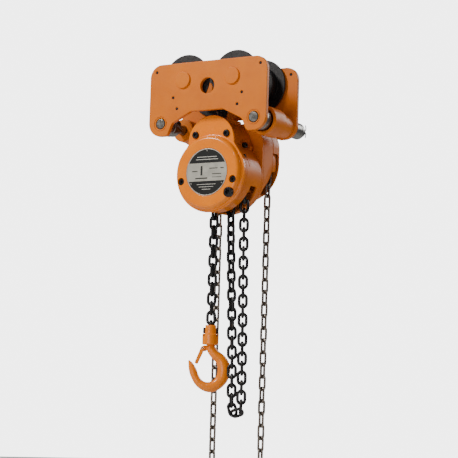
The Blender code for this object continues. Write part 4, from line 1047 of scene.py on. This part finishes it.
def cap_screw(name, node, head, shank, seat, x, z):
    """Cap screw with a hexagon socket, its head towards the front."""
    tip = across(node)[1]
    height = head * 0.85
    top = seat - height
    profile = [(0.0, tip, 0), (shank, tip, 0.0005), (shank, seat - GAP, 0), (head, seat - GAP, 0.0003),
               (head, top, 0.0010), (0.0, top, 0)]
    screw = turned_solid(profile, 4, (x, 0.0, z), steps=48)
    socket = rod(head * 0.55, top - 0.01, top + height * 0.55, (x, 0.0, z), steps=6, edge=0.0)
    finished(name, carve(screw, [socket]), "black_oxide", [node])


def cover_screws():
    names = ("upper_left", "upper_right", "lower_left", "lower_right")
    for name, (x, z), seat in zip(names, COVER_BOLTS, COVER_BOLT_SEATS):
        node = "cover_bolt_" + name
        cap_screw(node + "_finished", node, 0.0068, 0.0035, seat, x, z)
    cap_screw("oil_plug_finished", "oil_plug", 0.0100, 0.0060, FACE_Y + 0.004, *OIL_PLUG)


def segment(radius, level, top):
    """Outline of the part of a disc above (or below) a level."""
    angle = math.asin(level / radius)
    if top:
        return [(x, z + FACE_Z) for x, z in arc(0.0, 0.0, radius, angle, math.pi - angle, 48)]
    return [(x, z + FACE_Z) for x, z in arc(0.0, 0.0, radius, math.pi - angle, math.tau + angle, 48)]


def bars(rows, front, back):
    """Plain bars (x, z, width, height) on the nameplate, in millimetres from its centre."""
    made = []
    for x, z, width, height in rows:
        x, z, width, height = (value / 1000 for value in (x, z, width, height))
        low = (x - width / 2, front, FACE_Z + z - height / 2)
        high = (x + width / 2, back, FACE_Z + z + height / 2)
        made.append(block(low, high))
    return together(*made)


def nameplate():
    """Brushed disc with a bead, two black bands, plain bars in place of print, and three rivets."""
    centre = (0.0, 0.0, FACE_Z)
    r = NAMEPLATE_RADIUS
    profile = [(0.0, NAMEPLATE_BACK_Y, 0), (r, NAMEPLATE_BACK_Y, 0), (r, FACE_Y - 0.0003, 0.0003),
               (r - 0.0012, FACE_Y - 0.0003, 0.0003), (r - 0.0018, FACE_Y + 0.0001, 0.0002),
               (0.0, FACE_Y + 0.0001, 0)]
    disc = turned_solid(profile, 3, centre, steps=128)
    finished("nameplate_finished", disc, "nameplate_face", ["nameplate"])
    face = FACE_Y - 0.00005
    black = [flat([segment(r - 0.0019, 0.0184, True)], face, FACE_Y + 0.0002, 0.0),
             flat([segment(r - 0.0019, -0.0184, False)], face, FACE_Y + 0.0002, 0.0)]
    finished("nameplate_bands", together(*black), "black_enamel")
    pale = bars(((0.0, 25.5, 52.0, 1.0), (0.0, 30.5, 46.0, 1.0), (0.0, -25.0, 44.0, 0.8),
                 (0.0, -30.0, 34.0, 0.8),
                 (0.0, -35.0, 20.0, 0.8)), face - 0.0001, face)
    finished("nameplate_pale_bars", pale, "pale_print")
    dark = bars(((-28.0, 2.0, 13.0, 1.8), (-12.0, 3.0, 4.5, 19.0), (16.0, 7.0, 20.0, 1.6),
                 (24.0, -4.5, 22.0, 1.4),
                 (36.0, 7.0, 8.0, 1.6), (-12.0, -12.5, 28.0, 2.2),
                 (24.0, -11.0, 22.0, 1.0)), face - 0.0001, face)
    finished("nameplate_dark_bars", dark, "grey_print")
    rivets = []
    dome = [(0.0, face - 0.0009, 0), (0.0019, face - 0.0007, 0.0006), (0.0021, face + 0.0002, 0),
            (0.0, face + 0.0002, 0)]
    for angle in (90, 213, 327):
        rivets.append(turned_solid(dome, 3, on_circle(NAMEPLATE_RIVET_CIRCLE, angle, FACE_Z), steps=24))
    finished("nameplate_rivets", together(*rivets), "bare_steel")


# ---- Hook block, hook and latch ------------------------------------------------------------

def placed(mesh):
    """A mesh drawn about the swivel axis, moved to its place on the chain."""
    mesh.transform(HOOK_FRAME)
    return mesh


def block_half(name, side):
    """Half of the split block: a flat-sided neck round the chain's end link over the swivel's housing."""
    top, low, r, neck = BLOCK_TOP, BLOCK_BOTTOM, BLOCK_RADIUS, BLOCK_NECK_RADIUS
    profile = [(0.0, top, 0), (neck, top, 0.0022), (neck, top - 0.0165, 0.0010), (r, top - 0.0190, 0.0016),
               (r, low, 0.0024), (0.0, low, 0)]
    half = turned_solid(profile, 6, (0.0, 0.0, 0.0), "Z")
    head_low, head_high = HOOK_HEAD_Z[0] - GAP, HOOK_HEAD_Z[1] + 0.0005
    room, shank = HOOK_HEAD_RADIUS + 0.0010, HOOK_SHANK[0][2] + 0.0005
    seat = turned([(0.0, head_high), (room, head_high), (room, head_low), (shank, head_low),
                   (shank, low - 0.01),
                   (0.0, low - 0.01)], (0.0, 0.0, 0.0), "Z", 48)
    low_y, high_y = sorted((side * GAP / 2, side * -0.03))
    cutters = [block((-0.0040, -0.0112, top - 0.0185), (0.0040, 0.0112, top + 0.01)), seat,
               block((-0.03, low_y, low - 0.02), (0.03, high_y, top + 0.02)),
               rod(CHAIN_PIN_RADIUS + GAP, -0.03, 0.03, (0.0, 0.0, middle("chain_pin").z), "X", 32, 0.0)]
    for _, s in SIDES:
        near_x, far_x = sorted((s * BLOCK_FLAT_X, s * 0.03))
        cutters.append(block((near_x, -0.03, top - 0.0175), (far_x, 0.03, top + 0.02), 0.0008))
    mesh = placed(carve(half, cutters))
    finished("hook_block_%s_finished" % name, mesh, "bright_orange_paint", ["hook_block_" + name],
             "hook_block")


def hook_fastenings():
    """Chain pin with a black head at each end, and the two bolts that clamp the block's halves."""
    z = middle("chain_pin").z
    seat, out, dish = BLOCK_FLAT_X + GAP, 0.0155, 0.0145
    profile = [(0.0, dish, 0), (0.0030, dish, 0.0004), (0.0036, out, 0.0004), (CHAIN_PIN_HEAD, out, 0.0010),
               (CHAIN_PIN_HEAD, seat, 0.0003), (CHAIN_PIN_RADIUS, seat, 0), (CHAIN_PIN_RADIUS, 0.0, 0)]
    half = rounded(profile, 4, closed=False)
    pin = turned(half + [(r, -x) for r, x in reversed(half[:-1])], (0.0, 0.0, z), "X", 40)
    finished("chain_pin_finished", placed(pin), "black_oxide", ["chain_pin"], "hook_block")
    for end, s in SIDES:
        bolt = rod(0.0014, -0.0115, 0.0115, (s * BLOCK_BOLT_X, 0.0, BLOCK_BOLT_Z), steps=24, edge=0.0003)
        finished("block_bolt_%s_finished" % end, placed(bolt), "black_oxide", ["block_bolt_" + end],
                 "hook_block")


def flowing(points, count=5):
    """A smooth run of stations through the given ones."""
    found = []
    for i in range(len(points) - 1):
        before, a, b = points[max(i - 1, 0)], points[i], points[i + 1]
        after = points[min(i + 2, len(points) - 1)]
        for k in range(count):
            t = k / count
            found.append(tuple(0.5 * (2 * q + (r - p) * t + (2 * p - 5 * q + 4 * r - w) * t * t
                                      + (3 * q - p - 3 * r + w) * t ** 3)
                               for p, q, r, w in zip(before, a, b, after)))
    return found + [points[-1]]


def hook():
    """Flat-sided forging from the headed shank round the bowl to the point."""
    centre_h, centre_z = BOWL_CENTRE
    bowl = [(centre_h + reach * math.cos(math.radians(turn)),
             centre_z + reach * math.sin(math.radians(turn)), thick)
            for turn, reach, thick in HOOK_BOWL]
    path = flowing(list(HOOK_SHANK) + bowl + [HOOK_TIP])
    stations = []
    for i, (h, z, thick) in enumerate(path):
        before, after = path[max(i - 1, 0)], path[min(i + 1, len(path) - 1)]
        along = Vector((after[0] - before[0], 0.0, after[1] - before[1])).normalized()
        normal = Vector((0.0, 1.0, 0.0)).cross(along)
        width = thick if i < 8 else min(thick, 0.0088)
        stations.append(((h, 0.0, z), normal, thick, width, (0.0, 1.0, 0.0)))
    body = sweep(stations, 36, 2.0)
    head = rod(HOOK_HEAD_RADIUS, *HOOK_HEAD_Z, (0.0, 0.0, 0.0), "Z", 48)
    h, z = LATCH_PIVOT
    lug = rod(0.0060, -0.0035, 0.0035, (h + 0.004, 0.0, z), steps=40)
    body = carve(body, [head, lug], "UNION")
    hole = rod(LATCH_PIN_RADIUS + GAP, -0.02, 0.02, (h, 0.0, z), steps=24, edge=0.0)
    finished("hook_finished", placed(carve(body, [hole])), "bright_orange_paint", ["hook"], "hook_body")
    pin = rod(LATCH_PIN_RADIUS, -0.0072, 0.0072, (h, 0.0, z), steps=24, edge=0.0004)
    finished("latch_pin_finished", placed(pin), "bare_steel", ["latch_pin"], "hook_body")


def latch():
    """Folded gate: two cheeks at the pin that run into a tapering strip down to the hook's point."""
    h, z = LATCH_PIVOT
    dx, dz = LATCH_TIP[0] - h, LATCH_TIP[1] - z
    facing = math.atan2(dz, dx)
    ux, uz = math.cos(facing), math.sin(facing)
    eye = arc(h, z, 0.0042, facing + math.radians(70), facing + math.radians(290), 24)
    tip = arc(h + dx - ux * 0.0034, z + dz - uz * 0.0034, 0.0034, facing - math.radians(90),
              facing + math.radians(90), 10)
    gate = flat([eye + tip], -0.0068, 0.0068, 0.0007)
    hole = rod(LATCH_PIN_RADIUS + GAP, -0.02, 0.02, (h, 0.0, z), steps=24, edge=0.0)
    slot = block((h - 0.012, -0.0041, z - 0.010), (h + 0.012, 0.0041, z + 0.012), 0.0005)
    finished("hook_latch_finished", placed(carve(gate, [hole, slot])), "bright_orange_paint",
             ["hook_latch"], "latch")


# ---- Inner parts seen through the openings --------------------------------------------------

def hand_wheel():
    """Grooved wheel with rounded rims, seen through the cover's slots."""
    y = HAND_CHAIN_Y
    half = HAND_CHAIN["width"] / 2 + 0.0012
    deep = HAND_WHEEL_PITCH - half
    groove = [(HAND_WHEEL_PITCH - half * math.cos(a), y + half * math.sin(a), 0)
              for a in (math.pi / 2 - math.pi * i / 12 for i in range(13))]
    bore = 0.0050 + GAP
    e = 0.0006
    profile = [(bore, 0.0985, 0), (0.014, 0.0985, e), (0.016, 0.0900, e), (deep - 0.005, 0.0900, e),
               (deep - 0.003, y + 0.0105, e), (0.0605, y + 0.0105, e)] + groove
    profile += [(0.0605, y - 0.0105, e), (deep - 0.003, y - 0.0105, e), (deep - 0.005, 0.0850, e),
                (0.022, 0.0850, e),
                (0.020, 0.0570, e), (0.030, 0.0560, 0), (0.030, 0.0537, 0), (0.0126, 0.0537, 0),
                (0.0126, 0.0630, 0),
                (bore, 0.0630, 0)]
    mesh = turned_ring(profile, 3, (0.0, 0.0, MAIN_Z), steps=96)
    finished("hand_wheel_finished", mesh, "dark_iron", ["hand_wheel"], "drive")


def dress_inner_parts():
    """CAD nodes whose shape is right take a full material."""
    looks = {"sheave_bearing_front": "bare_steel", "sheave_bearing_rear": "bare_steel",
             "ratchet_disc": "bare_steel",
             "chain_guide": "dark_iron", "pinion_shaft": "bare_steel", "friction_hub": "bare_steel",
             "friction_disc_inner": "friction_lining", "friction_disc_outer": "friction_lining",
             "load_sheave": "dark_iron", "load_gear": "bare_steel", "idler_gear_left": "bare_steel",
             "idler_gear_right": "bare_steel", "pawl_upper": "bare_steel", "pawl_lower": "bare_steel"}
    for node, material in looks.items():
        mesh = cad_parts[node].data
        mesh.materials.clear()
        mesh.materials.append(MATERIALS[material])


# ---- Light, floor and background -----------------------------------------------------------

def area_light(name, place, aim, size, power, colour=(1.0, 1.0, 1.0)):
    data = bpy.data.lights.new(name, "AREA")
    data.shape = "DISK"
    data.size = size
    data.energy = power
    data.color = colour
    made = bpy.data.objects.new(name, data)
    made.location = place
    made.rotation_mode = "QUATERNION"
    made.rotation_quaternion = (Vector(aim) - Vector(place)).to_track_quat("-Z", "Y")
    bpy.context.scene.collection.objects.link(made)


def studio():
    aim = (0.0, 0.0, -0.2)
    area_light("key", (-1.5, -2.3, 1.9), aim, 0.9, 110.0, (1.0, 0.97, 0.92))
    area_light("fill", (0.2, -2.8, -0.9), (0.0, 0.0, -0.5), 1.6, 26.0)
    area_light("strip", (1.3, -1.9, 1.9), aim, 0.35, 9.0)
    area_light("rim", (1.2, 2.4, 1.2), aim, 1.5, 40.0)
    world = bpy.data.worlds.new("studio")
    bpy.context.scene.world = world
    world.use_nodes = True
    tree = world.node_tree
    seen = tree.nodes["Background"]
    seen.inputs["Color"].default_value = (1.0, 1.0, 1.0, 1.0)
    seen.inputs["Strength"].default_value = 4.5
    lit = tree.nodes.new("ShaderNodeBackground")
    lit.inputs["Color"].default_value = (0.97, 0.98, 1.0, 1.0)
    lit.inputs["Strength"].default_value = 0.20
    path = tree.nodes.new("ShaderNodeLightPath")
    mix = tree.nodes.new("ShaderNodeMixShader")
    tree.links.new(path.outputs["Is Camera Ray"], mix.inputs["Fac"])
    tree.links.new(lit.outputs["Background"], mix.inputs[1])
    tree.links.new(seen.outputs["Background"], mix.inputs[2])
    tree.links.new(mix.outputs["Shader"], tree.nodes["World Output"].inputs["Surface"])
    shape = bmesh.new()
    bmesh.ops.create_circle(shape, cap_ends=True, radius=1.9, segments=96)
    mesh = as_mesh(shape, "floor")
    floor = bpy.data.objects.new("floor", mesh)
    floor.location = (0.0, 0.0, CAD_BOX[0][2] - 0.01)
    bpy.context.scene.collection.objects.link(floor)
    made, tree, shader, place = base_material("floor", 0.0)
    tree.links.new(ramp(tree, noise(tree, place, 6.0),
                        ((0.3, (0.80, 0.80, 0.79)), (0.7, (0.84, 0.84, 0.83)))),
                   shader.inputs["Base Color"])
    shader.inputs["Roughness"].default_value = 0.9
    mesh.materials.append(made)


# ---- Everything in order -------------------------------------------------------------------

def build():
    make_camera()
    slack_strand()
    hand_chain()
    hook_strand()
    for face, side in FACES:
        side_plate(face, side)
        for end, x_sign in SIDES:
            where = face + "_" + end
            track_wheel(where, side, x_sign, "wheel_" + where)
            wheel_axle(where, side, x_sign)
    for end, x_sign in SIDES:
        suspension(end, x_sign)
    yoke()
    hanger_bolt()
    frame_plates()
    body_shell()
    brake_housing()
    wheel_cover()
    gear_cover()
    cover_screws()
    nameplate()
    for name, side in FACES:
        block_half(name, side)
    hook_fastenings()
    hook()
    latch()
    hand_wheel()
    dress_inner_parts()
    studio()


build()
